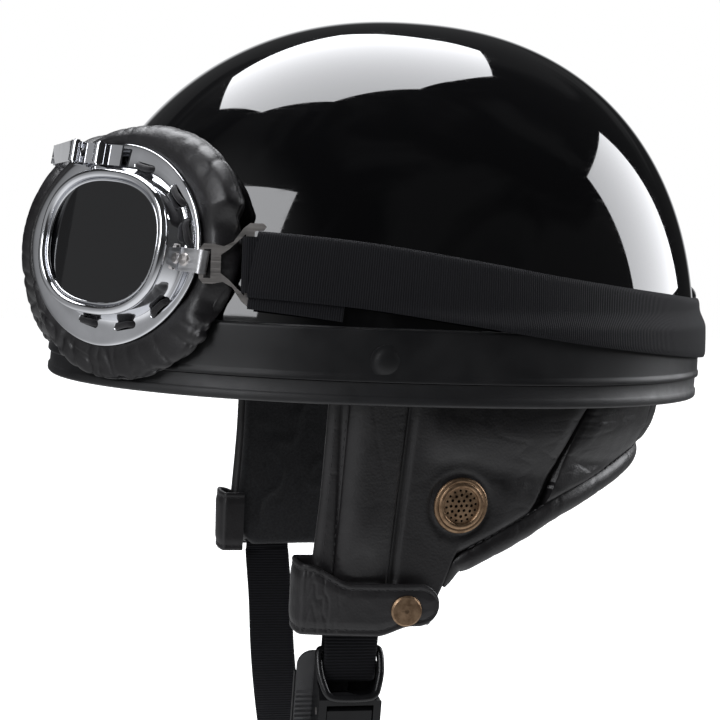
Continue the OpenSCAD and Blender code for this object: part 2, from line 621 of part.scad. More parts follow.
bezel_w = 31.3;
bezel_h = 26.4;
bezel_x = 4.6;
bezel_z = 8.6;

// A point of an oval at angle t, between the flange's edge (s = 0) and the lens's rim (s = 1)
function oval(t, w, h, n, x0) = [x0 + w * spow(cos(t), 2 / n), h * spow(sin(t), 2 / n)];
function frame_oval(t, s, out = 0) = mix(oval(t, frame_w + out, frame_h + out, 1.9, 0),
    oval(t, bezel_w + out, bezel_h + out, 2.4, bezel_x), s);

// A closed ring whose section at angle t is the list of points section(t)
module oval_ring(section, cols) {
    m = len(section(0));
    at = function (i, j) (j % cols) * m + i % m;
    polyhedron([for (j = [0 : cols - 1]) each section(360 * j / cols)],
        [for (j = [0 : cols - 1]) for (i = [0 : m - 1]) each
            [[at(i, j), at(i, j + 1), at(i + 1, j + 1)], [at(i, j), at(i + 1, j + 1), at(i + 1, j)]]]);
}

// Nine lacing slots round the flange: angle, and half of the cord that lies in each
lace_angles = [14, 42, 79, 138, 180, 222, 259, 287, 319];
lace_s = 0.62;
lace_half = 5.2;
lace_w = 2.6;

module at_lace(t) {
    p = frame_oval(t, lace_s);
    q = frame_oval(t + 2, lace_s);
    translate([p[0], p[1], 0]) rotate(atan2(q[1] - p[1], q[0] - p[0])) children();
}

module goggle_frame() {
    wall = 0.9;
    section = function (t) [for (k = [[0, 0], [0.5, 0.7], [0.82, 2], [0.97, bezel_z], [0.97, bezel_z - 0.01],
        [0.9, 2 - wall], [0.5, 0.7 - wall], [0, -wall]])
        let (inner = k[1] == bezel_z - 0.01, p = frame_oval(t, k[0], inner ? -wall : 0)) [p[0], p[1], k[1]]];
    color(chrome) in_frame() difference() {
        oval_ring(section, 48);
        for (t = lace_angles) at_lace(t) cube([2 * lace_half + 0.5, lace_w + 0.5, 8], center = true);
        translate([clip_rivet_x, clip_y, -4]) cylinder(r = 1.25, h = 10, $fn = 32);
    }
}

module pad_lacing() {
    color(cloth) in_frame() for (t = lace_angles) at_lace(t) translate([-lace_half, 0, 0.6]) {
        difference() {
            rotate([0, 90, 0]) cylinder(r = lace_w / 2, h = 2 * lace_half, $fn = 24);
            translate([-1, -5, -10]) cube([2 * lace_half + 2, 10, 10 - 1.25]);
        }
    }
}

module lens_bezel() {
    r = 1.7;
    section = function (t) let (p = frame_oval(t, 1), q = frame_oval(t, 1, -1), d = (p - q) / norm(p - q))
        [for (k = [0 : 7]) let (a = 360 * k / 8 + 22.5, e = p + d * (r * cos(a) - 0.4)) [e[0], e[1], bezel_z + 2.1 + r * sin(a) * 1.15]];
    color(chrome) in_frame() oval_ring(section, 48);
}

module lens() {
    edge = 2.3;
    color(smoke) in_frame() translate([0, 0, bezel_z + 1.2]) linear_extrude(1.6)
        polygon([for (j = [0 : 63]) frame_oval(360 * j / 64, 1, -edge)]);
}

// How far a point lies outside the surface off millimetres from the shell, as a share of the shell's size
function outside(p, off) = let (z = max(0, p[2]), g = girth(z, off), x = p[0] - crown_back * z / shell_h)
    pow(pow(abs(x) / (shell_a + off), plan_n) + pow(abs(p[1]) / (shell_b + off), plan_n), 1 / plan_n) - g;
// Depth behind the frame's plane at which a line straight back from x, y meets that surface
function reach(x, y, off, low = 0, high = 50, k = 10) = let (mid = (low + high) / 2)
    k == 0 ? mid : outside(from_frame([x, y, -mid]), off) > 0 ? reach(x, y, off, mid, high, k - 1)
    : reach(x, y, off, low, mid, k - 1);
pad_clear = 3.1;
// How far the pad swells past the flange's edge: most at the temple, least at the nose
function pad_swell(t) = 9 + 7 * smooth((cos(t) + 0.2) / 1.2) + 2.5 * smooth((-sin(t) - 0.2) / 0.8) - 3 * smooth((-cos(t) - 0.3) / 0.7);

module goggle_pad() {
    front = -1.5;
    // at the temple it is pressed back under the clip, the bracket and the end of the strap
    section = function (t) let (press = smooth((cos(t + 3) - 0.86) / 0.1), b = pad_swell(t) - 5.5 * press,
        r = function (o) frame_oval(t, 0, o), deep = function (o) max(reach(r(o)[0], r(o)[1], pad_clear), 2.8),
        d = deep(0.3 * b))
        [for (k = [[-8, front], [mix(-1, -2, press), mix(front, -2.6, press)], [0.4 * b, mix(-0.8, -3.4, press)],
            [0.85 * b, mix(-0.22 * d - 0.8, -8.2, press)], [b, -max(0.55 * deep(b), 12 * press)],
            [0.85 * b, -0.86 * deep(0.85 * b)], [0.3 * b, -d], [-8, -deep(-8)]])
            let (p = r(k[0])) [p[0], p[1], k[1]]];
    color(leather) in_frame() oval_ring(section, 48);
}

// Two clips threaded through the flanges' upper inner corners, with a strip between them on pins
hinge_lx = -24;
hinge_ly = 34;
hinge_lz = 4.6;
knuckle_r = 2.3;
clip_h = 8;
leaf_t = 0.9;

// The clip's second knuckle and the end of its leaf lie this far from the bridge's own hinge
second_knuckle = 13;
leaf_end = 23.5;

module at_hinge(along = 0) {
    in_frame() translate([hinge_lx + along, hinge_ly, hinge_lz]) rotate([90, 0, 0]) children();
}

module bridge_leaf(from, to) {
    at_hinge() translate([from, -knuckle_r, -clip_h / 2]) cube([to - from, leaf_t, clip_h]);
}

module bridge_clips() {
    color(chrome) both_sides() {
        at_hinge() for (z = [-clip_h / 2, clip_h / 2 - 2.4]) translate([0, 0, z]) {
            difference() {
                cylinder(r = knuckle_r, h = 2.4, $fn = 48);
                translate([0, 0, -1]) cylinder(r = 1.3, h = 5, $fn = 32);
            }
            translate([0, -knuckle_r, 0]) cube([5, leaf_t, 2.4]);
        }
        at_hinge(second_knuckle) difference() {
            translate([0, 0, -clip_h / 2]) cylinder(r = knuckle_r, h = clip_h, $fn = 48);
            translate([0, 0, -clip_h / 2 - 1]) cylinder(r = 1.3, h = clip_h + 2, $fn = 32);
        }
        bridge_leaf(4, second_knuckle);
        bridge_leaf(second_knuckle, leaf_end);
    }
}

module bridge_pins() {
    color(chrome) both_sides() for (along = [0, second_knuckle]) at_hinge(along)
        translate([0, 0, -clip_h / 2 - 0.6]) cylinder(r = 1.2, h = clip_h + 1.2, $fn = 32);
}

module bridge_strip() {
    mid = from_frame([hinge_lx, hinge_ly, hinge_lz]);
    tall = clip_h - 5.2;
    strip_ahead = 2.05;
    color(chrome) {
        both_sides() at_hinge() translate([0, 0, -tall / 2]) difference() {
            cylinder(r = knuckle_r, h = tall, $fn = 48);
            translate([0, 0, -1]) cylinder(r = 1.3, h = tall + 2, $fn = 32);
        }
        translate([mid[0] - strip_ahead, mid[1] + 2.6, mid[2] - clip_h / 2]) cube([1, -2 * mid[1] - 5.2, clip_h]);
        both_sides() translate([mid[0] - strip_ahead, mid[1] + 1.6, mid[2] - tall / 2 + 0.3]) cube([1, 3, tall - 0.6]);
    }
}

clip_rivet_x = 40;
clip_y = -2;
clip_end_x = 46.8;
clip_half = 4.4;

// Strip folded round the bracket's end bar and riveted to the flange at the temple
module side_clip() {
    lift_z = 1.7;
    back_z = -2.2;
    t = 0.8;
    color(chrome) in_frame() translate([0, clip_y - clip_half, 0]) difference() {
        union() {
            translate([clip_rivet_x - 2.1, 0, lift_z]) cube([clip_end_x - clip_rivet_x + 2.1, 2 * clip_half, t]);
            translate([clip_end_x, 0, (lift_z + back_z) / 2 + t / 2]) rotate([-90, 0, 0]) difference() {
                cylinder(r = (lift_z - back_z + t) / 2, h = 2 * clip_half, $fn = 48);
                translate([0, 0, -1]) cylinder(r = (lift_z - back_z - t) / 2, h = 2 * clip_half + 2, $fn = 48);
                translate([-20, -10, -1]) cube([20, 20, 2 * clip_half + 2]);
            }
            translate([clip_end_x - 3, 0, back_z]) cube([3, 2 * clip_half, t]);
        }
        translate([clip_rivet_x, clip_half, -5]) cylinder(r = 1.25, h = 12, $fn = 32);
    }
}

module clip_rivets() {
    color(nickel) both_sides() in_frame() translate([clip_rivet_x, clip_y, 0]) {
        translate([0, 0, 2.5]) rotate_extrude($fn = 48) polygon([[0, 0], [2.5, 0], [2.1, 0.7], [0, 1]]);
        translate([0, 0, -0.6]) cylinder(r = 1.2, h = 3.2, $fn = 32);
    }
}

bracket_at = from_frame([clip_end_x, clip_y, 0.15]);
bracket_turn = -6;
bracket_lean = 5;      // its upper edge leans in, along the shell
bracket_t = 1;
end_bar = 1.7;         // width of the bar that the clip is folded round
bar_x = 18.6;          // bar that the elastic strap loops round
bar_half = 1.6;

module in_bracket() {
    translate(bracket_at + [0, 0, -0.4]) rotate([90 - bracket_lean, 0, bracket_turn]) translate([-end_bar / 2, 0, 0]) children();
}

module strap_bracket() {
    half = [[0, 5.5], [1.6, 7.4], [5, 7.4], [9, 6.6], [12.5, 8.5], [16, 13.5], [18.5, 15.6], [23.4, 15.6],
        [24.6, 14.4], [23.6, 13], [bar_x + bar_half + 0.4, 12.8], [bar_x + bar_half, 12.2]];
    mirrored = [for (i = [len(half) - 1 : -1 : 0]) [half[i][0], -half[i][1]]];
    color(nickel) in_bracket() linear_extrude(bracket_t, center = true) difference() {
        polygon(concat(half, mirrored));
        translate([end_bar, -5.4]) square([2.6, 10.8]);
        polygon([[8, 3.4], [11, 5.6], [bar_x - bar_half, 11.5], [bar_x - bar_half, -11.5], [11, -5.6], [8, -3.4]]);
    }
}

strap_start_x = bracket_at[0] - end_bar / 2 + bar_x + 1.5;
strap_off_front = 5.4;
// Height of the strap's middle where it passes x
function strap_height(x) = spline([50, 47.5, 42.5, 36.8, 32.2, 28.4], max(0, min(1, (x + 76) / 212)));

module elastic_strap() {
    cols = 56;
    u_end = angle_of_x(strap_start_x / 0.96 - 2.4, strap_off_front);
    place = function (u, v, off) let (guess = on_shell(u, 45, 3)[0], z = strap_height(guess) + v * elastic_w / 2,
        near = smooth((-28 - guess) / 44)) on_shell(u, z, off + mix(strap_off(z), strap_off_front, near));
    grid = function (off) [for (i = [-2 : 2]) [for (j = [0 : cols]) place(mix(-u_end, u_end, j / cols), i / 2, off)]];
    color(cloth) {
        slab(grid(strap_t), grid(0));
        both_sides() in_bracket() translate([bar_x, 0, 0]) rotate([90, 0, 0]) translate([0, 0, -elastic_w / 2 + 2.2])
            linear_extrude(elastic_w - 4.4) difference() {
                translate([-2.9, -2.4]) square([5.9, 4.8]);
                translate([-2, -0.9]) square([3.9, 1.8]);
            }
    }
}

outer_shell();
rim_band();
edge_trim();
foam_liner();
crown_liner();
sweatband();
ear_flap();  // ear_flap_left
mirror([0, 1, 0]) ear_flap();  // ear_flap_right
flap_lining();  // flap_lining_left
mirror([0, 1, 0]) flap_lining();  // flap_lining_right
bolster();  // bolster_left
mirror([0, 1, 0]) bolster();  // bolster_right
neck_curtain();
hem_roll();
vent_rings();
vent_grilles();
strap_rivets();
flap_snap_studs();
tab_wrap();  // tab_wrap_left
mirror([0, 1, 0]) tab_wrap();  // tab_wrap_right
chin_strap_left();
chin_strap_right();
buckle_housing();
lever_pin();
lever_spring();
release_lever();
buckle_tongue();
d_ring();
strap_tab();  // strap_tab_left
mirror([0, 1, 0]) strap_tab();  // strap_tab_right
tab_snap();  // tab_snap_left
mirror([0, 1, 0]) tab_snap();  // tab_snap_right
strap_keeper();
keeper_anchor();
keeper_snap();
keeper_stud();
goggle_frame();  // goggle_frame_left
mirror([0, 1, 0]) goggle_frame();  // goggle_frame_right
lens_bezel();  // lens_bezel_left
mirror([0, 1, 0]) lens_bezel();  // lens_bezel_right
lens();  // lens_left
mirror([0, 1, 0]) lens();  // lens_right
goggle_pad();  // goggle_pad_left
mirror([0, 1, 0]) goggle_pad();  // goggle_pad_right
pad_lacing();  // pad_lacing_left
mirror([0, 1, 0]) pad_lacing();  // pad_lacing_right
bridge_strip();
bridge_pins();
bridge_clips();
side_clip();  // side_clip_left
mirror([0, 1, 0]) side_clip();  // side_clip_right
clip_rivets();
strap_bracket();  // strap_bracket_left
mirror([0, 1, 0]) strap_bracket();  // strap_bracket_right
elastic_strap();
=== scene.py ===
import math

import bmesh
import bpy
import numpy as np
from mathutils import Matrix, Vector, noise


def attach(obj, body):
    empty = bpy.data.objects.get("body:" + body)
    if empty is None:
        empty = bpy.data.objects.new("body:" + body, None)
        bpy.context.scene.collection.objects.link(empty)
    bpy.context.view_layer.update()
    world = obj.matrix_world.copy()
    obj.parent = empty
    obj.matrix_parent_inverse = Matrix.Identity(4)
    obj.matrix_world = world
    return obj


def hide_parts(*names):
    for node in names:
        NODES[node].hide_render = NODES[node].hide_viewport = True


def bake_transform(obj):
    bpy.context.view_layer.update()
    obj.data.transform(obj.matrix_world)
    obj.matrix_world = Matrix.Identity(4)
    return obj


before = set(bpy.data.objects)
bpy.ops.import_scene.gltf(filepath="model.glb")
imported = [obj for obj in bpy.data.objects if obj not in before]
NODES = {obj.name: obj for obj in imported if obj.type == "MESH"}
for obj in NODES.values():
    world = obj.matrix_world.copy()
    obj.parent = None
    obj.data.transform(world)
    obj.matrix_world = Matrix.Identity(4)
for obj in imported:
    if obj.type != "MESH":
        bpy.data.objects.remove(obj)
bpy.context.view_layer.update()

MM = 0.001

# ---------------------------------------------------------------------------
# Driving dimensions, in millimetres, the same as the part's own
# ---------------------------------------------------------------------------
SHELL_A, SHELL_B, SHELL_H, SHELL_T = 137.0, 113.0, 152.0, 4.0
PLAN_N, DOME_N, CROWN_BACK = 2.2, 2.25, 7.5
BAND_H, BAND_T = 28.5, 2.0
FOAM_OUT, FOAM_IN = -7.0, -27.0
SKIRT_OFF, SKIRT_T = -13.0, 6.0
WEB_W, WEB_T = 21.0, 1.6
ELASTIC_W = 24.5
FRAME_W, FRAME_H = 44.5, 39.0
FRAME_AT = np.array([-121.0, -59.0, 54.2])
FRAME_YAW, FRAME_PITCH, FRAME_ROLL = 39.0, 8.0, -3.0
BEZEL_W, BEZEL_H, BEZEL_X, BEZEL_Z = 31.3, 26.4, 4.6, 8.6


# ---------------------------------------------------------------------------
# Shapes that the shell and everything round it follow
# ---------------------------------------------------------------------------
def spow(v, p):
    return np.sign(v) * np.abs(v) ** p


def smooth(t):
    c = np.clip(t, 0.0, 1.0)
    return c * c * (3 - 2 * c)


def mix(a, b, t):
    return a + (b - a) * t


def plan(u, off):
    """The shell's outline from above at angle u (radians, 0 at the back), off mm outside it."""
    return (SHELL_A + off) * spow(np.cos(u), 2 / PLAN_N), (SHELL_B + off) * spow(np.sin(u), 2 / PLAN_N)


def girth(z, off):
    return np.maximum(0.0, 1 - (np.maximum(z, 0) / (SHELL_H + off)) ** DOME_N) ** (1 / DOME_N)


def on_shell(u, z, off):
    u, z, off = np.broadcast_arrays(*(np.asarray(k, float) for k in (u, z, off)))
    x, y = plan(u, off)
    g = girth(z, off)
    return np.stack([x * g + CROWN_BACK * np.maximum(z, 0) / SHELL_H, y * g, z], -1)


def on_dome(u, v, off):
    u, v, off = np.broadcast_arrays(*(np.asarray(k, float) for k in (u, v, off)))
    x, y = plan(u, off)
    g = np.maximum(np.cos(v), 0) ** (2 / DOME_N)
    z = (SHELL_H + off) * np.sin(v) ** (2 / DOME_N)
    return np.stack([x * g + CROWN_BACK * z / SHELL_H, y * g, z], -1)


def angle_of_height(z, off):
    return math.asin((z / (SHELL_H + off)) ** (DOME_N / 2))


def angle_of_x(x, off):
    return np.arccos(spow(np.clip(x / (SHELL_A + off), -1, 1), PLAN_N / 2))


def skirt_lean(u):
    return 0.06 + 0.34 * np.maximum(0, np.cos(u)) ** 2


def skirt_point(u, z, off):
    u, z, off = np.broadcast_arrays(*(np.asarray(k, float) for k in (u, z, off)))
    o = SKIRT_OFF + off + np.minimum(z, 0) * skirt_lean(u)
    x, y = plan(u, o)
    return np.stack([x, y, z], -1)


def spline(points, t):
    """A smooth curve through the points, at t from 0 to 1 (one value or many)."""
    p = np.asarray(points, float)
    t = np.asarray(t, float) * (len(p) - 1)
    i = np.clip(np.floor(t).astype(int), 0, len(p) - 2)
    f = t - i
    if p.ndim > 1:
        f = f[..., None]
    a, b, c, d = p[np.maximum(0, i - 1)], p[i], p[i + 1], p[np.minimum(len(p) - 1, i + 2)]
    return (b + (c - a) * f / 2 + (2 * a - 5 * b + 4 * c - d) * f ** 2 / 2
            + (3 * b - a - 3 * c + d) * f ** 3 / 2)


def along(path):
    """Distance from the start of a path to each of its points."""
    return np.concatenate([[0], np.cumsum(np.linalg.norm(np.diff(path, axis=0), axis=1))])


def unit(v):
    return v / np.maximum(np.linalg.norm(v, axis=-1), 1e-9)[..., None]


def paired(a, b):
    """Two grids of numbers, broadcast against each other, as a grid of pairs."""
    return np.stack(np.broadcast_arrays(a, b), -1)


# ---------------------------------------------------------------------------
# Mesh helpers
# ---------------------------------------------------------------------------
def make(name, verts, faces, uvs=None, smooth_angle=50):
    """A mesh object from points in millimetres. uvs gives one pair of millimetres for each point."""
    me = bpy.data.meshes.new(name)
    me.from_pydata((np.asarray(verts, float) * MM).tolist(), [], [tuple(int(k) for k in f) for f in faces])
    if uvs is not None:
        layer = me.uv_layers.new(name="mm")
        index = np.empty(len(me.loops), int)
        me.loops.foreach_get("vertex_index", index)
        layer.data.foreach_set("uv", np.asarray(uvs, float)[index].ravel())
    me.validate()
    me.update()
    ob = bpy.data.objects.new(name, me)
    bpy.context.scene.collection.objects.link(ob)
    shade(ob, smooth_angle)
    return ob


def shade(ob, angle):
    me = ob.data
    me.polygons.foreach_set("use_smooth", [True] * len(me.polygons))
    me.set_sharp_from_angle(angle=math.radians(angle))


def quads(rows, cols, close_rows=False, close_cols=False, start=0):
    faces = []
    for i in range(rows if close_rows else rows - 1):
        for j in range(cols if close_cols else cols - 1):
            a, b = i * cols + j, i * cols + (j + 1) % cols
            c, d = ((i + 1) % rows) * cols + (j + 1) % cols, ((i + 1) % rows) * cols + j
            faces.append((start + a, start + b, start + c, start + d))
    return faces


def grid(name, pts, close_rows=False, close_cols=False, smooth_angle=60):
    faces = quads(*pts.shape[:2], close_rows, close_cols)
    return make(name, pts.reshape(-1, 3), faces, smooth_angle=smooth_angle)


def slab(name, outer, inner, uvs=None, smooth_angle=50):
    """A closed sheet between two grids of points."""
    r, c = outer.shape[:2]
    n = r * c
    faces = quads(r, c) + [f[::-1] for f in quads(r, c, start=n)]
    at = lambda i, j: i * c + j
    for j in range(c - 1):
        faces.append((at(0, j), n + at(0, j), n + at(0, j + 1), at(0, j + 1)))
        faces.append((at(r - 1, j + 1), n + at(r - 1, j + 1), n + at(r - 1, j), at(r - 1, j)))
    for i in range(r - 1):
        faces.append((at(i + 1, 0), n + at(i + 1, 0), n + at(i, 0), at(i, 0)))
        faces.append((at(i, c - 1), n + at(i, c - 1), n + at(i + 1, c - 1), at(i + 1, c - 1)))
    verts = np.concatenate([outer.reshape(-1, 3), inner.reshape(-1, 3)])
    uv = None if uvs is None else np.concatenate([uvs.reshape(-1, 2)] * 2)
    return make(name, verts, faces, uv, smooth_angle)


def mirrored(ob, name):
    """A copy of a piece on the other side of the helmet."""
    me = ob.data.copy()
    me.name = name
    me.transform(Matrix.Diagonal((1, -1, 1, 1)))
    me.flip_normals()
    other = bpy.data.objects.new(name, me)
    bpy.context.scene.collection.objects.link(other)
    return other


def outward(ob):
    """Turns a closed piece's faces outwards."""
    bm = bmesh.new()
    bm.from_mesh(ob.data)
    bmesh.ops.recalc_face_normals(bm, faces=bm.faces)
    if bm.calc_volume(signed=True) < 0:
        bmesh.ops.reverse_faces(bm, faces=bm.faces)
    bm.to_mesh(ob.data)
    bm.free()
    return ob


def cut(ob, cutter):
    """Takes the cutter's volume out of a piece, and removes the cutter."""
    m = ob.modifiers.new("cut", "BOOLEAN")
    m.object, m.operation, m.solver = cutter, "DIFFERENCE", "EXACT"
    bpy.context.view_layer.objects.active = ob
    bpy.ops.object.modifier_apply(modifier=m.name)
    bpy.data.objects.remove(cutter)


def join(name, pieces):
    """One object from several."""
    for o in bpy.context.selected_objects:
        o.select_set(False)
    for p in pieces:
        p.select_set(True)
    bpy.context.view_layer.objects.active = pieces[0]
    if len(pieces) > 1:
        bpy.ops.object.join()
    pieces[0].name = name
    pieces[0].data.name = name
    pieces[0].select_set(False)
    return pieces[0]


def capped_grid(name, pts, uvs=None, smooth_angle=50):
    """A grid of points closed round its columns, with its first and last rows filled in."""
    r, c = pts.shape[:2]
    faces = quads(r, c, close_cols=True) + [tuple(range(c)), tuple(range((r - 1) * c, r * c))[::-1]]
    return outward(make(name, pts.reshape(-1, 3), faces, None if uvs is None else uvs.reshape(-1, 2), smooth_angle))


def tube(path, radius, sides=10, closed=False, flat=1.0, up=(0, 0, 1)):
    """Points of a tube swept along a path, as a grid. radius may differ along it; flat squashes it."""
    path = np.asarray(path, float)
    n = len(path)
    radius = np.broadcast_to(np.asarray(radius, float), (n,))
    t = unit(np.roll(path, -1, 0) - np.roll(path, 1, 0) if closed else np.gradient(path, axis=0))
    s = unit(np.cross(t, np.broadcast_to(np.asarray(up, float), path.shape)))
    w = np.cross(s, t)
    a = np.linspace(0, 2 * np.pi, sides, endpoint=False)
    return (path[:, None, :] + radius[:, None, None]
            * (s[:, None, :] * np.cos(a)[None, :, None] * flat + w[:, None, :] * np.sin(a)[None, :, None]))


def tube_mesh(name, path, radius, sides=10, closed=False, flat=1.0, up=(0, 0, 1)):
    pts = tube(path, radius, sides, closed, flat, up)
    if closed:
        return outward(grid(name, pts, True, True, 50))
    return capped_grid(name, pts)


def lathe(name, profile, place, segments=64, hollow=False):
    """A turned piece: profile is [radius, height] points; place maps local points to the row frame."""
    prof = np.asarray(profile, float)
    a = np.linspace(0, 2 * np.pi, segments, endpoint=False)
    pts = np.stack([prof[:, None, 0] * np.cos(a), prof[:, None, 0] * np.sin(a),
                    np.broadcast_to(prof[:, None, 1], (len(prof), segments))], -1)
    pts = place(pts.reshape(-1, 3)).reshape(pts.shape)
    if hollow:
        return outward(grid(name, pts, True, True, 35))
    return capped_grid(name, pts, smooth_angle=35)


# ---------------------------------------------------------------------------
# Materials: all procedural, in object space or in the millimetre UVs
# ---------------------------------------------------------------------------
class Look:
    """A material under construction: one Principled shader and the nodes that feed it."""

    def __init__(self, name, color, rough, metal=0.0, **sockets):
        self.mat = bpy.data.materials.new(name)
        self.mat.use_nodes = True
        self.tree = self.mat.node_tree
        self.bsdf = self.tree.nodes["Principled BSDF"]
        self.set("Base Color", (*color, 1.0))
        self.set("Roughness", rough)
        self.set("Metallic", metal)
        for key, value in sockets.items():
            self.set(key.replace("_", " "), value)
        self.last_bump = None
        self.mat.diffuse_color = (*color, 1.0)

    def set(self, key, value):
        self.bsdf.inputs[key].default_value = value

    def node(self, kind, **values):
        n = self.tree.nodes.new(kind)
        for k, v in values.items():
            setattr(n, k, v)
        return n

    def link(self, a, b):
        self.tree.links.new(a, b)

    def coords(self, uv=False, scale=(1, 1, 1)):
        c = self.node("ShaderNodeTexCoord")
        m = self.node("ShaderNodeMapping")
        m.inputs["Scale"].default_value = scale
        self.link(c.outputs["UV" if uv else "Object"], m.inputs["Vector"])
        return m.outputs["Vector"]

    def noise(self, scale, detail=3.0, uv=False, stretch=(1, 1, 1), distortion=0.0):
        """Noise with features about 1/scale metres across, or 1/scale mm in the UVs."""
        n = self.node("ShaderNodeTexNoise")
        n.inputs["Scale"].default_value = scale
        n.inputs["Detail"].default_value = detail
        n.inputs["Roughness"].default_value = 0.55
        n.inputs["Distortion"].default_value = distortion
        self.link(self.coords(uv, stretch), n.inputs["Vector"])
        return n.outputs["Fac"]

    def cells(self, scale, feature="F1"):
        n = self.node("ShaderNodeTexVoronoi")
        n.feature = feature
        n.inputs["Scale"].default_value = scale
        self.link(self.coords(), n.inputs["Vector"])
        return n.outputs["Distance"]

    def waves(self, scale, direction):
        """Straight bands in the millimetre UVs."""
        n = self.node("ShaderNodeTexWave")
        n.wave_type = "BANDS"
        n.bands_direction = direction
        n.inputs["Scale"].default_value = scale
        n.inputs["Detail"].default_value = 1.0
        self.link(self.coords(uv=True), n.inputs["Vector"])
        return n.outputs["Fac"]

    def ramp(self, value, low, high, at=(0.0, 1.0)):
        """Maps a value to colours or numbers between two positions."""
        r = self.node("ShaderNodeValToRGB")
        as_color = lambda v: (*v, 1.0) if isinstance(v, tuple) else (v, v, v, 1.0)
        r.color_ramp.elements[0].position, r.color_ramp.elements[1].position = at
        r.color_ramp.elements[0].color = as_color(low)
        r.color_ramp.elements[1].color = as_color(high)
        self.link(value, r.inputs["Fac"])
        return r.outputs["Color"]

    def into(self, socket, value):
        self.link(value, self.bsdf.inputs[socket])

    def bump(self, height, distance, strength=1.0):
        """Adds a layer of bump whose height is distance millimetres."""
        b = self.node("ShaderNodeBump")
        b.inputs["Strength"].default_value = strength
        b.inputs["Distance"].default_value = distance * MM
        self.link(height, b.inputs["Height"])
        if self.last_bump is not None:
            self.link(self.last_bump, b.inputs["Normal"])
        self.last_bump = b.outputs["Normal"]
        self.link(self.last_bump, self.bsdf.inputs["Normal"])


def gloss_shell():
    m = Look("gloss_shell", (0.003, 0.003, 0.0035), 0.045, Coat_Weight=0.6, Coat_Roughness=0.015)
    # hair-fine polishing scratches and settled dust
    scratches = m.noise(90, 2, stretch=(1.0, 1.0, 7.0), distortion=0.6)
    m.into("Roughness", m.ramp(scratches, 0.03, 0.09, (0.45, 0.8)))
    dust = m.cells(420)
    m.into("Base Color", m.ramp(dust, (0.05, 0.05, 0.055), (0.003, 0.003, 0.0035), (0.012, 0.02)))
    m.bump(m.noise(14, 2), 0.05, 0.15)
    return m.mat


def matt_band():
    m = Look("matt_band", (0.012, 0.012, 0.013), 0.42, Specular_IOR_Level=0.4)
    m.into("Roughness", m.ramp(m.noise(60, 4), 0.36, 0.5, (0.3, 0.7)))
    m.into("Base Color", m.ramp(m.noise(30, 4), (0.010, 0.010, 0.011), (0.016, 0.016, 0.017), (0.3, 0.7)))
    m.bump(m.noise(2600, 2), 0.02, 0.5)
    return m.mat


def bead_foam():
    m = Look("bead_foam", (0.03, 0.03, 0.032), 0.8)
    cells = m.cells(280, feature="DISTANCE_TO_EDGE")
    m.into("Base Color", m.ramp(cells, (0.012, 0.012, 0.013), (0.035, 0.035, 0.037), (0.0, 0.25)))
    m.bump(cells, 0.5, 0.8)
    return m.mat


def lining_cloth():
    m = Look("lining_cloth", (0.012, 0.012, 0.014), 0.9, Sheen_Weight=0.35, Sheen_Roughness=0.5)
    m.into("Base Color", m.ramp(m.noise(900, 4), (0.006, 0.006, 0.007), (0.022, 0.022, 0.025), (0.3, 0.7)))
    m.bump(m.noise(1500, 5), 0.25, 0.8)
    return m.mat


def leather(name="leather", rough=(0.34, 0.5), color=(0.0092, 0.0083, 0.0090), grain=0.08):
    m = Look(name, color, rough[0], Specular_IOR_Level=0.6, Coat_Weight=0.18, Coat_Roughness=0.38)
    lighter = tuple(c * 1.9 for c in color)
    m.into("Base Color", m.ramp(m.noise(45, 5), color, lighter, (0.35, 0.75)))
    m.into("Roughness", m.ramp(m.noise(220, 4), rough[0], rough[1], (0.3, 0.7)))
    m.bump(m.noise(120, 4, distortion=0.4), 0.35, 0.35)
    m.bump(m.cells(950), grain, 0.7)
    return m.mat


def ribbed(name, pitch, direction, depth=0.22):
    """Woven tape: ribs of that pitch in millimetres across or along it, with a fine thread between them."""
    color = (0.008, 0.008, 0.010)
    m = Look(name, color, 0.8, Sheen_Weight=0.04, Sheen_Roughness=0.5, Specular_IOR_Level=0.22)
    ribs = m.waves(math.pi / 10 / pitch, direction)
    threads = m.noise(3.0, 2, uv=True)
    # painted shade and highlight: the base colour follows the ribs, darker in the grooves between them and lighter on
    # their crests
    m.into("Base Color", m.ramp(ribs, tuple(c * 0.35 for c in color), tuple(c * 1.7 for c in color), (0.0, 0.8)))
    m.into("Roughness", m.ramp(threads, 0.6, 0.9, (0.3, 0.7)))
    m.bump(ribs, depth, 0.8)
    m.bump(threads, 0.12, 0.5)
    return m.mat


def plated(name, color, rough):
    m = Look(name, color, rough[0], 1.0)
    m.into("Roughness", m.ramp(m.noise(160, 5), rough[0], rough[1], (0.4, 0.75)))
    m.into("Base Color", m.ramp(m.noise(70, 4), tuple(c * 0.88 for c in color), color, (0.35, 0.65)))
    m.bump(m.noise(55, 3), 0.05, 0.5)
    return m.mat


def brushed(name, color, rough):
    m = Look(name, color, rough, 1.0)
    lines = m.noise(500, 4, stretch=(0.12, 0.12, 3.0))
    m.into("Roughness", m.ramp(lines, rough * 0.75, rough * 1.3, (0.3, 0.7)))
    m.into("Base Color", m.ramp(m.noise(90, 4), tuple(c * 0.75 for c in color), color, (0.3, 0.6)))
    m.bump(lines, 0.03, 0.5)
    return m.mat


def antique_bronze():
    m = Look("antique_bronze", (0.21, 0.135, 0.085), 0.38, 1.0)
    m.into("Base Color", m.ramp(m.noise(330, 5), (0.20, 0.125, 0.075), (0.40, 0.27, 0.17), (0.3, 0.62)))
    m.into("Roughness", m.ramp(m.noise(500, 4), 0.36, 0.56, (0.3, 0.7)))
    m.bump(m.noise(1400, 3), 0.05, 0.6)
    return m.mat


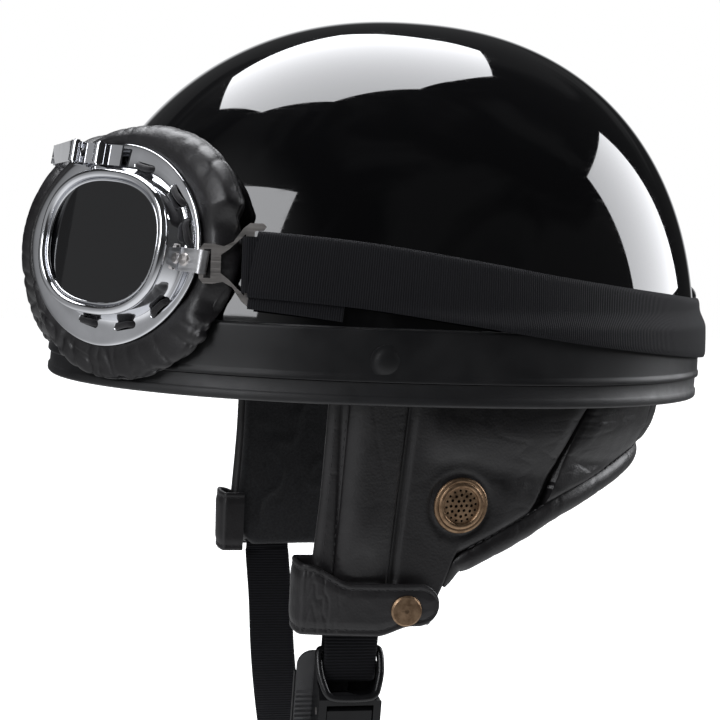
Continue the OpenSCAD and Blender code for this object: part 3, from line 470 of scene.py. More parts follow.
def moulded(name="moulded_plastic", color=(0.007, 0.007, 0.008), rough=0.36):
    m = Look(name, color, rough)
    m.into("Roughness", m.ramp(m.noise(300, 4), rough * 0.8, rough * 1.3, (0.3, 0.7)))
    m.into("Base Color", m.ramp(m.noise(60, 3), tuple(c * 0.8 for c in color), tuple(c * 1.3 for c in color),
                                (0.3, 0.7)))
    m.bump(m.noise(1800, 2), 0.03, 0.6)
    return m.mat


def smoked_lens():
    m = Look("smoked_lens", (0.004, 0.004, 0.005), 0.02, Coat_Weight=0.5, Coat_Roughness=0.01, IOR=1.5)
    m.into("Roughness", m.ramp(m.noise(120, 4, stretch=(1, 1, 3)), 0.012, 0.06, (0.5, 0.85)))
    m.bump(m.noise(25, 2), 0.03, 0.1)
    return m.mat


def cord_black():
    m = Look("lacing_cord", (0.008, 0.008, 0.010), 0.65, Sheen_Weight=0.3)
    m.into("Base Color", m.ramp(m.noise(1800, 3), (0.004, 0.004, 0.005), (0.022, 0.020, 0.024), (0.3, 0.7)))
    m.bump(m.noise(1600, 3), 0.2, 0.8)
    return m.mat


def thread():
    m = Look("thread", (0.014, 0.013, 0.014), 0.6, Sheen_Weight=0.2)
    m.bump(m.noise(2600, 2), 0.1, 0.7)
    m.into("Base Color", m.ramp(m.noise(2000, 2), (0.008, 0.008, 0.009), (0.03, 0.028, 0.03), (0.3, 0.7)))
    return m.mat


SHELL, BAND, FOAM, CLOTH = gloss_shell(), matt_band(), bead_foam(), lining_cloth()
LEATHER = leather()
PAD_LEATHER = leather("pad_leather", (0.33, 0.46), (0.0075, 0.0068, 0.0078), 0.06)
TAB_LEATHER = leather("tab_leather", (0.4, 0.55), (0.013, 0.012, 0.013), 0.07)
WEBBING = ribbed("ribbed_webbing", 1.25, "X")
ELASTIC = ribbed("woven_elastic", 0.9, "X", depth=0.15)
CHROME = plated("bright_plate", (0.86, 0.87, 0.9), (0.03, 0.12))
NICKEL = brushed("dull_nickel", (0.80, 0.76, 0.73), 0.40)
CLIP_STEEL = brushed("clip_steel", (0.78, 0.78, 0.79), 0.42)
BRONZE, PLASTIC, LENS = antique_bronze(), moulded(), smoked_lens()
RING_STEEL = moulded("black_wire", (0.010, 0.010, 0.011), 0.28)
CORD, THREAD = cord_black(), thread()


def finish(ob, mat, body, replaces=()):
    """Gives a piece its material and its body, and hides the CAD nodes it stands for."""
    ob.data.materials.clear()
    ob.data.materials.append(mat)
    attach(ob, body)
    if replaces:
        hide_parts(*replaces)
    return ob


def rounded_bevel(ob, width, angle=35):
    """Shades a carried-over CAD node smoothly and rounds its edges, without moving it."""
    shade(ob, angle)
    if width:
        m = ob.modifiers.new("rounded", "BEVEL")
        m.width, m.segments, m.limit_method = width * MM, 2, "ANGLE"
        m.angle_limit = math.radians(angle)
        m.harden_normals = True
    return ob


def carried(node, mat, width=0.0):
    """A CAD node that keeps its own shape and gets a better material."""
    ob = NODES[node]
    ob.data.materials.clear()
    ob.data.materials.append(mat)
    for p in ob.data.polygons:
        p.material_index = 0
    return rounded_bevel(ob, width)


def both_sides(left, right_name, mat, body, node):
    """Finishes the left piece and its mirror image. node is the CAD name without its side."""
    for ob, side in ((left, "left"), (mirrored(left, right_name), "right")):
        finish(ob, mat, body, [f"{node}_{side}"])


def fbm(p, size, seed=0, octaves=3):
    """Smooth noise of about -1 to 1 at points in millimetres, its features about that size."""
    q = np.asarray(p, float).reshape(-1, 3) / size + seed * 7.31
    out = np.array([noise.fractal(Vector(k), 1.0, 2.0, octaves) for k in q])
    return out.reshape(np.shape(p)[:-1])


def creases(p, size, seed=0, sharp=3.5, stretch=(1, 1, 1)):
    """Narrow folds where the noise crosses zero: 1 in the middle of a fold, 0 away from it."""
    n = fbm(np.asarray(p) * np.asarray(stretch), size, seed, 2)
    return np.maximum(0, 1 - np.abs(n) * sharp) ** 2


def stitches(name, path, normal, pitch=3.4, length=2.5, radius=0.32, lift=0.12, sink=0.35):
    """A row of thread stitches along a path lying on a surface whose normals are given."""
    path, normal = np.asarray(path, float), np.asarray(normal, float)
    run = along(path)
    at = lambda s, a: np.stack([np.interp(s, run, a[:, k]) for k in range(3)], -1)
    verts, faces, sides, rings = [], [], 6, 5
    ang = np.linspace(0, 2 * np.pi, sides, endpoint=False)
    for start in np.arange(0.5, run[-1] - length, pitch):
        s = start + np.linspace(0, length, rings)
        c, n = at(s, path), at(s, normal)
        n = unit(n)
        k = np.linspace(-1, 1, rings)
        c = c + n * (lift - sink * k ** 4)[:, None]
        t = unit(np.gradient(c, axis=0))
        w = np.cross(n, t)
        r = radius * np.sqrt(np.maximum(0.15, 1 - k ** 4))
        ring = c[:, None] + r[:, None, None] * (w[:, None] * np.cos(ang)[None, :, None]
                                                 + n[:, None] * np.sin(ang)[None, :, None])
        base = len(verts)
        verts.extend(ring.reshape(-1, 3))
        faces += quads(rings, sides, close_cols=True, start=base)
        faces.append(tuple(base + np.arange(sides)))
        faces.append(tuple(base + (rings - 1) * sides + np.arange(sides))[::-1])
    ob = make(name, verts, faces, smooth_angle=80)
    return outward(ob)


def grid_normals(pts):
    """Unit normals of a grid of points."""
    return unit(np.cross(np.gradient(pts, axis=1), np.gradient(pts, axis=0)))


# ---------------------------------------------------------------------------
# Shell, band, trim and what lines the shell
# ---------------------------------------------------------------------------
def bowl(name, out_off, in_off, z0, cols=256, rows=60, inner_relief=None):
    def rings(off, relief=None):
        v = np.linspace(angle_of_height(z0, off), math.radians(89.0), rows)[:, None]
        u = np.linspace(0, 2 * np.pi, cols, endpoint=False)[None, :]
        o = off if relief is None else off + relief(u, v)
        return on_dome(u, v, o)
    outer, inner = rings(out_off), rings(in_off, inner_relief)
    n = rows * cols
    verts = np.concatenate([outer.reshape(-1, 3), inner.reshape(-1, 3),
                            [[CROWN_BACK, 0, SHELL_H + out_off], [CROWN_BACK, 0, SHELL_H + in_off]]])
    faces = quads(rows, cols, close_cols=True)
    faces += [f[::-1] for f in quads(rows, cols, close_cols=True, start=n)]
    last = (rows - 1) * cols
    for j in range(cols):
        k = (j + 1) % cols
        faces += [(last + j, last + k, 2 * n), (n + last + k, n + last + j, 2 * n + 1), (k, j, n + j, n + k)]
    return make(name, verts, faces, smooth_angle=50)


def moulding(name, profile, cols=288, relief=None, smooth_angle=45):
    """A closed profile of [offset, height] points carried round the shell."""
    prof = np.asarray(profile, float)
    u = np.linspace(0, 2 * np.pi, cols, endpoint=False)[None, :]
    off = np.broadcast_to(prof[:, :1], (len(prof), cols))
    if relief is not None:
        off = off + relief(u, prof[:, 1:2], prof[:, :1])
    pts = on_shell(u, prof[:, 1:2], off)
    return outward(grid(name, pts, close_rows=True, close_cols=True, smooth_angle=smooth_angle))


finish(bowl("shell", 0, -SHELL_T, 2.2, rows=72), SHELL, "helmet", ["outer_shell"])

arc = lambda x, z, r, a0, a1, n=6: [[x + r * math.cos(math.radians(a)), z + r * math.sin(math.radians(a))]
                                    for a in np.linspace(a0, a1, n)]
band_profile = ([[0.15, 8.3], [1.2, 8.3]] + arc(BAND_T + 0.05, 8.75, 0.45, 235, 360, 7)
                + [[BAND_T + 0.5, 10.2], [BAND_T + 0.12, 10.8], [BAND_T, 11.6], [BAND_T, 19], [BAND_T, BAND_H - 1.6]]
                + arc(BAND_T - 1.5, BAND_H - 1.5, 1.5, 0, 90, 7) + [[0.15, BAND_H]])
finish(moulding("rim_band_piece", band_profile), BAND, "helmet", ["rim_band"])
i0 = -SHELL_T - 0.15
trim_profile = ([[i0 - 1.6, 1.2]] + arc(i0 - 0.4, 0.6, 1.2, 190, 270, 5) + [[1.0, -0.6]]
                + arc(0.85, 0.55, 1.15, 275, 360, 7)
                + [[BAND_T, 2.4], [BAND_T - 0.35, 3.0], [BAND_T - 0.7, 3.5], [BAND_T - 0.7, 8.0], [0.15, 8.2],
                   [0.15, 1.9], [i0, 1.9], [i0 - 0.1, 6.2], [i0 - 1.6, 6.2]])
finish(moulding("edge_trim_piece", trim_profile), leather("trim_rubber", (0.5, 0.6), (0.007, 0.007, 0.008), 0.02),
       "helmet", ["edge_trim"])

foam_piece = bowl("foam_bowl", FOAM_OUT, FOAM_IN, 7.5, cols=160, rows=40)
finish(foam_piece, FOAM, "helmet", ["foam_liner"])
quilt = lambda u, v: -1.1 * (np.abs(np.cos(8 * u)) ** 0.5 * np.abs(np.cos(9 * v)) ** 0.5) + 0.3
crown_piece = bowl("crown_padding", FOAM_IN - 0.9, FOAM_IN - 3.6, 14, cols=256, rows=72, inner_relief=quilt)
finish(crown_piece, CLOTH, "helmet", ["crown_liner"])

o0 = FOAM_IN - 0.3
sweat_profile = [[o0 - 3.5, 0.5], [o0 - 1.2, 0.7], [o0, 1.6], [o0, 6], [o0, 11.5], [o0 - 1.6, 12.6], [o0 - 4, 12.8],
                 [o0 - 6.0, 11.6], [o0 - 6.9, 9.2], [o0 - 7, 6.6], [o0 - 6.7, 3.8], [o0 - 5.4, 1.4]]
sweat_relief = lambda u, z, o: np.where(o < o0 - 5, 0.35 * np.sin(70 * u + 2 * np.sin(9 * u))
                                        * np.cos((z - 6.5) / 4), 0)
sweat_piece = moulding("sweatband_pad", sweat_profile, 420, sweat_relief, 70)
finish(sweat_piece, LEATHER, "helmet", ["sweatband"])


# ---------------------------------------------------------------------------
# Leather skirt: ear flaps, their linings and bolsters, the neck curtain and its hem
# ---------------------------------------------------------------------------
FLAP_BOTTOM, FLAP_FRONT_X, HEM_R = -88.0, -42.0, 5.5
VENT = (12.0, -40.0)
SNAP = (-9.0, -80.0)


def hem_height(x):
    x = np.asarray(x, float)
    return np.select([x < 4, x < 14, x < 60, x < 100],
                     [np.full_like(x, FLAP_BOTTOM), mix(FLAP_BOTTOM, -69, smooth((x - 4) / 10)),
                      mix(-69, -47, (x - 14) / 46), mix(-47, -34, (x - 60) / 40)], mix(-34, -29, (x - 100) / 25))


def front_x(z):
    low = np.clip((FLAP_BOTTOM + 12 - z) / 12, 0, None)
    return FLAP_FRONT_X + np.minimum(0, z) * 0.05 - 1.4 * smooth((-z - 30) / 45) + low ** 2 * 9


def seam_x(z):
    return 69 + np.minimum(0, z) * 0.53


def at_x(x, z, off):
    """A point of the left side of the skirt where the outline reaches x."""
    return skirt_point(-angle_of_x(np.asarray(x, float), SKIRT_OFF), z, off)


def edge_drop(d, width, depth):
    """How far a padded sheet's face falls away within that width of its edge."""
    k = np.clip(1 - d / width, 0, 1)
    return -depth * (1 - np.sqrt(np.maximum(0, 1 - k * k)))


def flap_grid(rows, cols):
    a = np.linspace(0, 1, cols)[None, :]
    b = np.linspace(0, 1, rows)[:, None]
    x0 = mix(front_x(0.0), seam_x(0.0), a)
    top = mix(-1.6, 6.5, smooth((x0 + 6) / 6))
    low_of = lambda x: hem_height(x) + smooth((x - 3) / 3) * (2 * HEM_R - 1.5)
    z0 = mix(low_of(x0), top, b)
    x = mix(front_x(z0), seam_x(z0), a)
    z = mix(low_of(x), top, b)
    return x, z, low_of(x) + 0 * z


def flap_face(x, z, low):
    """How far the flap's leather stands out of or sinks below its plain face, in millimetres."""
    p = at_x(x, z, 0)
    r = np.hypot(x - VENT[0], z - VENT[1])
    away = smooth((r - 12) / 9) * smooth((np.hypot(x - SNAP[0], z - SNAP[1]) - 7) / 6)
    d_front, d_seam = x - front_x(z), seam_x(z) - x
    out = edge_drop(d_front, 4.5, 3.0) + edge_drop(z - low, 4.5, 2.6) + edge_drop(d_seam, 3.6, 3.2)
    # soft swell of the padding under the rim and down the middle of the ear pad
    out = out + away * (1.9 * np.exp(-((z + 12) / 10) ** 2) * smooth((x + 8) / 10) * smooth(d_seam / 9)
                        + 1.3 * np.exp(-((x - 30) / 16) ** 2 - ((z + 40) / 14) ** 2))
    # the seam lines either side of the bolster
    rear = -11 - 5 * np.clip((-z) / 72, 0, 1)
    out = out - 1.3 * np.exp(-((x - rear - 2.2) / 1.5) ** 2) * smooth((z + 74) / 5)
    out = out - 0.9 * np.exp(-((x + 36.5) / 1.1) ** 2)
    # long soft folds, and short ones that fan out from the seams
    below = np.exp(-((z + 27 + 0.12 * (x - 20)) / 4.5) ** 2) * smooth((x + 4) / 12)
    out = out + away * (0.45 * fbm(p * [1.0, 1.0, 0.55], 42, 1) - 0.8 * below
                        - 0.16 * creases(p, 20, 2, 5.0, (0.5, 0.5, 1.5)) * np.exp(-((z + 22) / 14) ** 2)
                        - 0.3 * creases(p, 13, 3, 5.0, (0.45, 0.45, 1.6)) * np.exp(-d_seam / 9))
    out = out - 0.5 * np.exp(-((r - 12.2) / 1.3) ** 2)
    return np.minimum(out, 2.4)


def padded_sheet(name, face, back):
    return outward(slab(name, face, back, smooth_angle=70))


x, z, low = flap_grid(150, 200)
relief = flap_face(x, z, low)
tuck = edge_drop(x - front_x(z), 3.5, 2.6) + edge_drop(z - low, 3.5, 2.4) + edge_drop(seam_x(z) - x, 3, 2.4)
flap_left = padded_sheet("flap_left", at_x(x, z, relief), at_x(x, z, -SKIRT_T - tuck))
both_sides(flap_left, "flap_right", LEATHER, "helmet", "ear_flap")

x, z, low = flap_grid(70, 110)
p = at_x(x, z, 0)
fuzz = 0.35 * fbm(p, 9, 5) - 0.8 * creases(p, 30, 6, 4.0)
tuck = edge_drop(x - front_x(z), 3, 1.3) + edge_drop(z - low, 3, 1.3)
lining_left = padded_sheet("lining_left", at_x(x, z, -9.1), at_x(x, z, -12.0 - tuck + fuzz))
both_sides(lining_left, "lining_right", CLOTH, "helmet", "flap_lining")


# the roll along the front of each flap, gathered a little at its seams
def bolster():
    rows, cols = 160, 56
    s = np.linspace(0, 1, rows)[:, None]
    k = np.linspace(0, 1, cols)[None, :]
    z = mix(-72.0, -1.6, s) + 0 * k
    x = mix(-34 - 3.5 * (1 - s), -11 - 5 * (1 - s), k)
    swell = (5 - 2.2 * smooth((0.35 - s) / 0.35)) * np.maximum(np.sin(np.pi * k), 0) ** 0.55
    ends = np.sqrt(np.clip(1 - np.clip(1 - s * 14, 0, 1) ** 2, 0, 1))
    p = at_x(x, z, 0)
    pull = creases(p, 9, 11, 4.0, (0.35, 0.35, 1.5)) * (np.abs(2 * k - 1) ** 2.2)
    fold = 0.7 * creases(p, 24, 12, 4.5, (1.3, 1.3, 0.45)) * np.sin(np.pi * k)
    top = np.maximum(0.1, (swell - 0.14 * pull - 0.15 * fold + 0.3 * fbm(p, 30, 13) * np.sin(np.pi * k)) * ends)
    return padded_sheet("bolster_roll_left", at_x(x, z, top), at_x(x, z, -1.4 + 0 * top))


both_sides(bolster(), "bolster_roll_right", LEATHER, "helmet", "bolster")


def curtain():
    rows, cols = 84, 460
    side = np.linspace(-1, 1, cols)[None, :]
    b = np.linspace(0, 1, rows)[:, None]
    seam_u = lambda zz: angle_of_x(seam_x(zz), SKIRT_OFF)
    low_of = lambda uu: hem_height(plan(uu, SKIRT_OFF)[0]) + 2 * HEM_R - 1.0
    u0 = np.abs(side) * seam_u(0.0)
    z0 = mix(low_of(u0), 6.5, b)
    u = np.abs(side) * (seam_u(z0) - 0.004)
    z = mix(low_of(u), 6.5, b)
    ang = np.sign(side) * u
    p = skirt_point(ang, z, 0)
    second = np.radians(29) - 0.0012 * z
    d_seam = (seam_u(z) - u) * 100
    d_second = np.abs(u - second) * 110
    middle = np.abs(u) * 120
    out = edge_drop(d_seam, 3.6, 3.2) - 2.3 * np.exp(-(d_second / 1.7) ** 2) - 1.6 * np.exp(-(middle / 1.6) ** 2)
    out = out + edge_drop(z - low_of(u), 3.5, 1.6)
    panel = smooth(d_seam / 10) * smooth(d_second / 10)
    out = out + 2.0 * panel * np.exp(-((z + 12) / 9) ** 2) + 1.2 * panel * np.exp(-((z + 35) / 7) ** 2)
    out = out - 0.7 * panel * np.exp(-((z + 24 + 2 * np.sin(9 * u)) / 3.0) ** 2)
    out = out + 0.4 * fbm(p, 30, 21) - 0.18 * creases(p, 22, 22, 4.5, (0.5, 0.5, 1.5))
    out = out - 0.35 * creases(p, 11, 23, 4.5, (0.45, 0.45, 1.8)) * np.exp(-np.minimum(d_seam, d_second) / 8)
    face = skirt_point(ang, z, np.minimum(out, 2.4))
    back = skirt_point(ang, z, -SKIRT_T - 2 + 0.3 * fbm(p, 12, 24))
    return padded_sheet("curtain_panel", face, back)


curtain_piece = finish(curtain(), LEATHER, "helmet", ["neck_curtain"])


def hem_path(cols):
    start = float(angle_of_x(9.0, SKIRT_OFF))
    side = np.linspace(-1, 1, cols)
    u = np.abs(side) * start
    x = plan(u, SKIRT_OFF)[0]
    return skirt_point(np.sign(side) * u, hem_height(x) + HEM_R, -SKIRT_T / 2 - 0.5)


def hem():
    cols, sides = 620, 28
    c = hem_path(cols)
    t = unit(np.gradient(c, axis=0))
    s = unit(np.cross(t, [0, 0, 1]))
    w = np.cross(s, t)
    end = np.minimum(np.arange(cols), cols - 1 - np.arange(cols)) / 14.0
    taper = np.sqrt(np.clip(1 - (1 - np.clip(end, 0, 1)) ** 2, 0.02, 1)) * mix(0.8, 1.0, smooth(end / 4))
    a = np.linspace(0, 2 * np.pi, sides, endpoint=False)
    pts = c[:, None] + HEM_R * taper[:, None, None] * (
        s[:, None] * np.cos(a)[None, :, None] * 0.85 + w[:, None] * np.sin(a)[None, :, None])
    n = unit(pts - c[:, None])
    # pulled in at the row of stitches along its upper edge, with small folds running down from it
    stitched = np.exp(-((a - 1.15) / 0.22) ** 2) + np.exp(-((a - np.pi + 1.15) / 0.22) ** 2)
    dips = 0.22 * fbm(pts, 20, 31) - 0.3 * creases(pts, 15, 32, 4.5, (1.0, 1.0, 0.4))
    pts = pts + n * (dips * taper[:, None] - 0.7 * stitched[None, :])[..., None]
    return capped_grid("hem_tube", pts, smooth_angle=80)


hem_piece = finish(hem(), LEATHER, "helmet", ["hem_roll"])


# ---------------------------------------------------------------------------
# Metal fittings on the skirt, and the leather tabs
# ---------------------------------------------------------------------------
def on_flap(px, pz, depth):
    """Maps local points (z outwards) onto the left flap at px, pz."""
    u = float(angle_of_x(px, SKIRT_OFF))
    o = at_x(px, pz, depth)
    q = at_x(px + 2, pz, depth)
    yaw = math.atan2(q[1] - o[1], q[0] - o[0])
    lean = math.atan(float(skirt_lean(u)))
    m = Matrix.Rotation(yaw, 3, "Z") @ Matrix.Rotation(math.radians(90) + lean, 3, "X")
    return lambda pts: np.asarray(pts) @ np.array(m).T + o


def both(name, pieces, mat, body, nodes=()):
    """The pieces and their mirror images, as one object."""
    made = list(pieces) + [mirrored(o, o.name + "_m") for o in pieces]
    return finish(join(name, made), mat, body, nodes)


ring = [[7, 0], [11, 0], [11, 0.5], [10.75, 0.9], [10.2, 1.25], [9.6, 1.3], [9.3, 1.15], [8.9, 1.5], [8.3, 1.8],
        [7.7, 1.75], [7.2, 1.4], [7.0, 0.9]]
ring = lathe("vent_ring_a", ring, on_flap(*VENT, 0.6), 96, hollow=True)
both("vent_rim", [ring], BRONZE, "helmet", ["vent_rings"])


def grille():
    """A slightly domed disc pierced by three rings of holes round a middle one."""
    place = on_flap(*VENT, 0.6)
    profile = [[7.15, -0.3], [7.15, 0.75], [6.4, 0.62], [4.5, 0.86], [2.2, 1.0], [0.05, 1.04]]
    disc = lathe("grille_disc", profile, place, 64)
    holes = []
    for count, radius in ((1, 0.0), (6, 2.15), (12, 4.2), (16, 6.0)):
        for k in range(count):
            a = 2 * math.pi * k / count + radius
            c = np.array([radius * math.cos(a), radius * math.sin(a), 0])
            size = 0.62 if radius < 5 else 0.5
            at_hole = lambda pts, c=c: place(np.asarray(pts) + c)
            holes.append(lathe("hole", [[size, -2], [size, 3]], at_hole, 16))
    cut(disc, join("holes", holes))
    shade(disc, 30)
    return disc


both("grille_discs", [grille()], BRONZE, "helmet", ["vent_grilles"])
rivet_at = on_shell(-float(angle_of_x(-25.0, BAND_T)), 16.0, BAND_T - 0.2)
rivet_face = lambda q: np.stack([q[..., 0] + rivet_at[0], rivet_at[1] - q[..., 2], q[..., 1] + rivet_at[2]], -1)
dome = lathe("rivet_dome", [[6.6, -0.4], [6.4, 0.02], [5.6, 0.1], [4.9, 0.34], [4.2, 0.72], [3.2, 1.08], [2.0, 1.3],
                            [0.8, 1.38], [0.05, 1.4]], rivet_face, 64)
shank = lathe("rivet_shank", [[2.0, -9.5], [2.0, -0.3]], rivet_face, 32)
head = lathe("rivet_head", [[5.0, -10.4], [5.0, -9.7], [4.2, -9.4], [2.0, -9.4]], rivet_face, 48)
both("rivet_domes", [dome, shank, head], BAND, "helmet", ["strap_rivets"])
carried("flap_snap_studs", BRONZE, 0.0)
for side, sign in (("left", 1), ("right", -1)):
    carried(f"tab_snap_{side}", BRONZE, 0.25)

TAB_HINGE_X, TAB_END_X, TAB_DEPTH = -47.5, 4.0, 4.6


def tab_low(x):
    return -90.5 + 4 * smooth((x + 20) / 14)


def tab_high(x):
    return mix(-63.0, -70.0, smooth((x - TAB_HINGE_X) / 18))


def tab_shape():
    """The tab's middle surface as a grid, and the column where its wrap round the flap ends."""
    rows, wrap_cols, flat_cols = 44, 60, 120
    outer_y = at_x(TAB_HINGE_X, -78, TAB_DEPTH)[1]
    inner_y = at_x(-40, -78, -SKIRT_T - WEB_T - 1.4 - 3 - 1.2)[1]
    mid, half = (outer_y + inner_y) / 2, (inner_y - outer_y) / 2
    v = np.linspace(0, 1, rows)[:, None]
    run = np.linspace(-39.5, TAB_HINGE_X, 10)[:-1]
    a = np.linspace(np.pi, 0, wrap_cols)
    wx = np.concatenate([run, TAB_HINGE_X - 1.9 * np.sin(a) ** 0.6])
    wy = np.concatenate([np.full(9, inner_y + 1.1), mid - (half + 1.1) * np.cos(a)])
    fx = np.linspace(TAB_HINGE_X, TAB_END_X, flat_cols + 1)[1:]
    e = np.clip((fx - (TAB_END_X - 8)) / 8, 0, 1)
    pinch = 1 - np.sqrt(np.maximum(0, 1 - e * e * 0.97))
    lo = np.concatenate([np.full(len(wx), tab_low(-49.0)), mix(tab_low(fx), (tab_low(fx) + tab_high(fx)) / 2, pinch)])
    hi = np.concatenate([np.full(len(wx), tab_high(-49.0)), mix(tab_high(fx), (tab_low(fx) + tab_high(fx)) / 2, pinch)])
    z = mix(lo[None, :], hi[None, :], v)
    flat = at_x(fx[None, :], z[:, len(wx):], TAB_DEPTH + 1.1)
    lean = (z[:, :len(wx)] + 78) * -0.06
    wrap = np.stack(np.broadcast_arrays(wx, wy, z[:, :len(wx)]), -1)
    outer = wy < mid
    wrap[..., 1] += np.where(outer[None, :], lean * smooth((mid - wy) / half)[None, :], 0)
    pts = np.concatenate([wrap, flat], 1)
    # even out the joint between the wrap and the flat part
    for _ in range(6):
        k = slice(len(wx) - 10, len(wx) + 10)
        pts[:, k] = (pts[:, k] + (pts[:, len(wx) - 11:len(wx) + 9] + pts[:, len(wx) - 9:len(wx) + 11]) / 2) / 2
    return pts, len(wx)


def tab_piece():
    pts, split = tab_shape()
    n = -grid_normals(pts)
    if n[20, -30, 1] > 0:
        n = -n
    rows, cols = pts.shape[:2]
    step = np.linalg.norm(np.diff(pts, axis=1), axis=-1).mean(0)
    run = np.concatenate([[0], np.cumsum(step)])
    i = np.linspace(0, 1, rows)[:, None]
    tall = np.linalg.norm(pts[-1] - pts[0], axis=-1)[None, :]
    d = np.minimum(np.minimum(i, 1 - i) * tall, (run[-1] - run)[None, :] + 0.3 + 0 * i)
    e = np.clip(1 - d / 1.0, 0, 1)
    roundness = np.sqrt(np.maximum(0, 1 - e * e))
    bend = np.exp(-((run - run[split] - 6) / 9) ** 2)[None, :]
    wrinkle = -0.35 * creases(pts, 7, 41, 3.5, (1.8, 1.8, 0.5)) * bend + 0.2 * fbm(pts, 13, 42)
    groove = -0.22 * np.exp(-((d - 2.3) / 0.5) ** 2)
    cushion = 0.35 * smooth((d - 2.6) / 3)
    up = (1.1 * (0.35 + 0.65 * roundness) + (wrinkle + groove + cushion - 0.2) * roundness)[..., None]
    down = (1.1 * (0.35 + 0.65 * roundness))[..., None]
    uv = paired(run, i * tall)
    ob = outward(slab("tab_strip_left", pts + n * up, pts - n * down, uv, 75))
    inset = 2.3
    low_line = [np.interp(inset, i[:, 0] * tall[0, j], np.arange(rows)) for j in range(cols)]
    take = lambda grid_pts, r, j: grid_pts[int(r), j] * (1 - r % 1) + grid_pts[min(rows - 1, int(r) + 1), j] * (r % 1)
    face = pts + n * (up - 0.05)
    last = int(np.searchsorted(run, run[-1] - inset))
    keep = [j for j in range(last) if tall[0, j] > 2 * inset + 3]
    first = [take(face, low_line[j], j) for j in keep]
    second = [take(face, rows - 1 - low_line[j], j) for j in keep]
    end = low_line[keep[-1]]
    tip = [face[int(k), min(cols - 1, keep[-1] + 2)] for k in np.linspace(end + 1, rows - 2 - end, 6)]
    path = np.array(first + tip + second[::-1])
    normals = np.array([n[3, j] for j in keep] + [n[rows // 2, keep[-1]]] * 6 + [n[rows - 4, j] for j in keep][::-1])
    thread_row = stitches("tab_stitch_left", path, normals, 3.3, 2.4, 0.26, 0.05, 0.4)
    return ob, thread_row


tab_left, tab_thread_left = tab_piece()
tab_right, tab_thread_right = mirrored(tab_left, "tab_strip_right"), mirrored(tab_thread_left, "tab_stitch_right")
for ob, row, side, sign in ((tab_left, tab_thread_left, "left", 1), (tab_right, tab_thread_right, "right", -1)):
    ob.data.materials.append(TAB_LEATHER)
    row.data.materials.append(THREAD)
    for piece in (ob, row):
        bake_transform(piece)
    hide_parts(f"tab_wrap_{side}", f"strap_tab_{side}")


# ---------------------------------------------------------------------------
# Chin strap, buckle and hanging ring
# ---------------------------------------------------------------------------
STRAP_X = -26.0
BUCKLE_AT = np.array([-26.0, -81.0, -109.0])
BUCKLE_LEAN = math.radians(7)


def from_buckle(p):
    p = np.asarray(p, float)
    c, s = math.cos(BUCKLE_LEAN), math.sin(BUCKLE_LEAN)
    return BUCKLE_AT + np.stack([p[..., 0], p[..., 1] * c - p[..., 2] * s, p[..., 1] * s + p[..., 2] * c], -1)


def webbing(name, points, per_point, width, thick):
    """A ribbed strap whose middle runs through the points [x, y, z, turn]."""
    t = np.linspace(0, 1, (len(points) - 1) * per_point + 1)
    path = spline(points, t)
    mid, turn = path[:, :3], np.radians(path[:, 3])
    wide = np.stack([np.cos(turn), np.sin(turn), np.zeros_like(turn)], -1)
    d = np.gradient(mid, axis=0)
    n = unit(np.cross(wide, d))
    run = along(mid)
    half = width / 2
    # a section with rounded selvedges, thinner just inside them
    section = [[-half, 0], [-half + 0.15, 0.45], [-half + 0.6, 0.78], [-half + 1.5, 0.8], [-half + 2.4, 0.68],
               [-half / 2, 0.74], [0, 0.76]]
    section += [[-s[0], s[1]] for s in section[-2::-1]]
    section = np.array(section + [[s[0], -s[1]] for s in section[-2:0:-1]]) * [1, thick / 1.6]
    pts = mid[:, None] + wide[:, None] * section[None, :, :1] + n[:, None] * section[None, :, 1:]
    uv = paired(run[:, None], section[:, 0])
    return capped_grid(name, pts, uv, 40)


WEB_TURN = -7.6
web_depth = SKIRT_T + 0.9 + WEB_T / 2
web_y = lambda zz: float(at_x(STRAP_X, zz, -web_depth)[1])
rivet_y = lambda zz: float(on_shell(-angle_of_x(STRAP_X, 0), zz, -SHELL_T - 1.1 - WEB_T / 2)[1])
upper_web = [[STRAP_X, rivet_y(22), 22, WEB_TURN], [STRAP_X, rivet_y(13.5), 13.5, WEB_TURN],
             [STRAP_X, rivet_y(13.5) + 4, 7, WEB_TURN], [STRAP_X, web_y(0) - 4.4, 3.8, WEB_TURN],
             [STRAP_X, web_y(0) - 0.6, 1.4, WEB_TURN], [STRAP_X, web_y(-3.4), -3.4, WEB_TURN],
             [STRAP_X, web_y(-40), -40, WEB_TURN], [STRAP_X, web_y(-86), -86, WEB_TURN]]
fold = 2 + WEB_T / 2 + 0.15
lower = [[*from_buckle([0, a, b]), 0] for a, b in ((-fold, 8), (-fold, 0), (-fold * 0.7, -fold * 0.7), (0, -fold),
                                                   (fold * 0.7, -fold * 0.7), (fold, 0), (fold, 8), (fold, 15))]
web_left = webbing("webbing_left", upper_web + lower, 10, WEB_W, WEB_T)
finish(web_left, WEBBING, "helmet", ["chin_strap_left"])

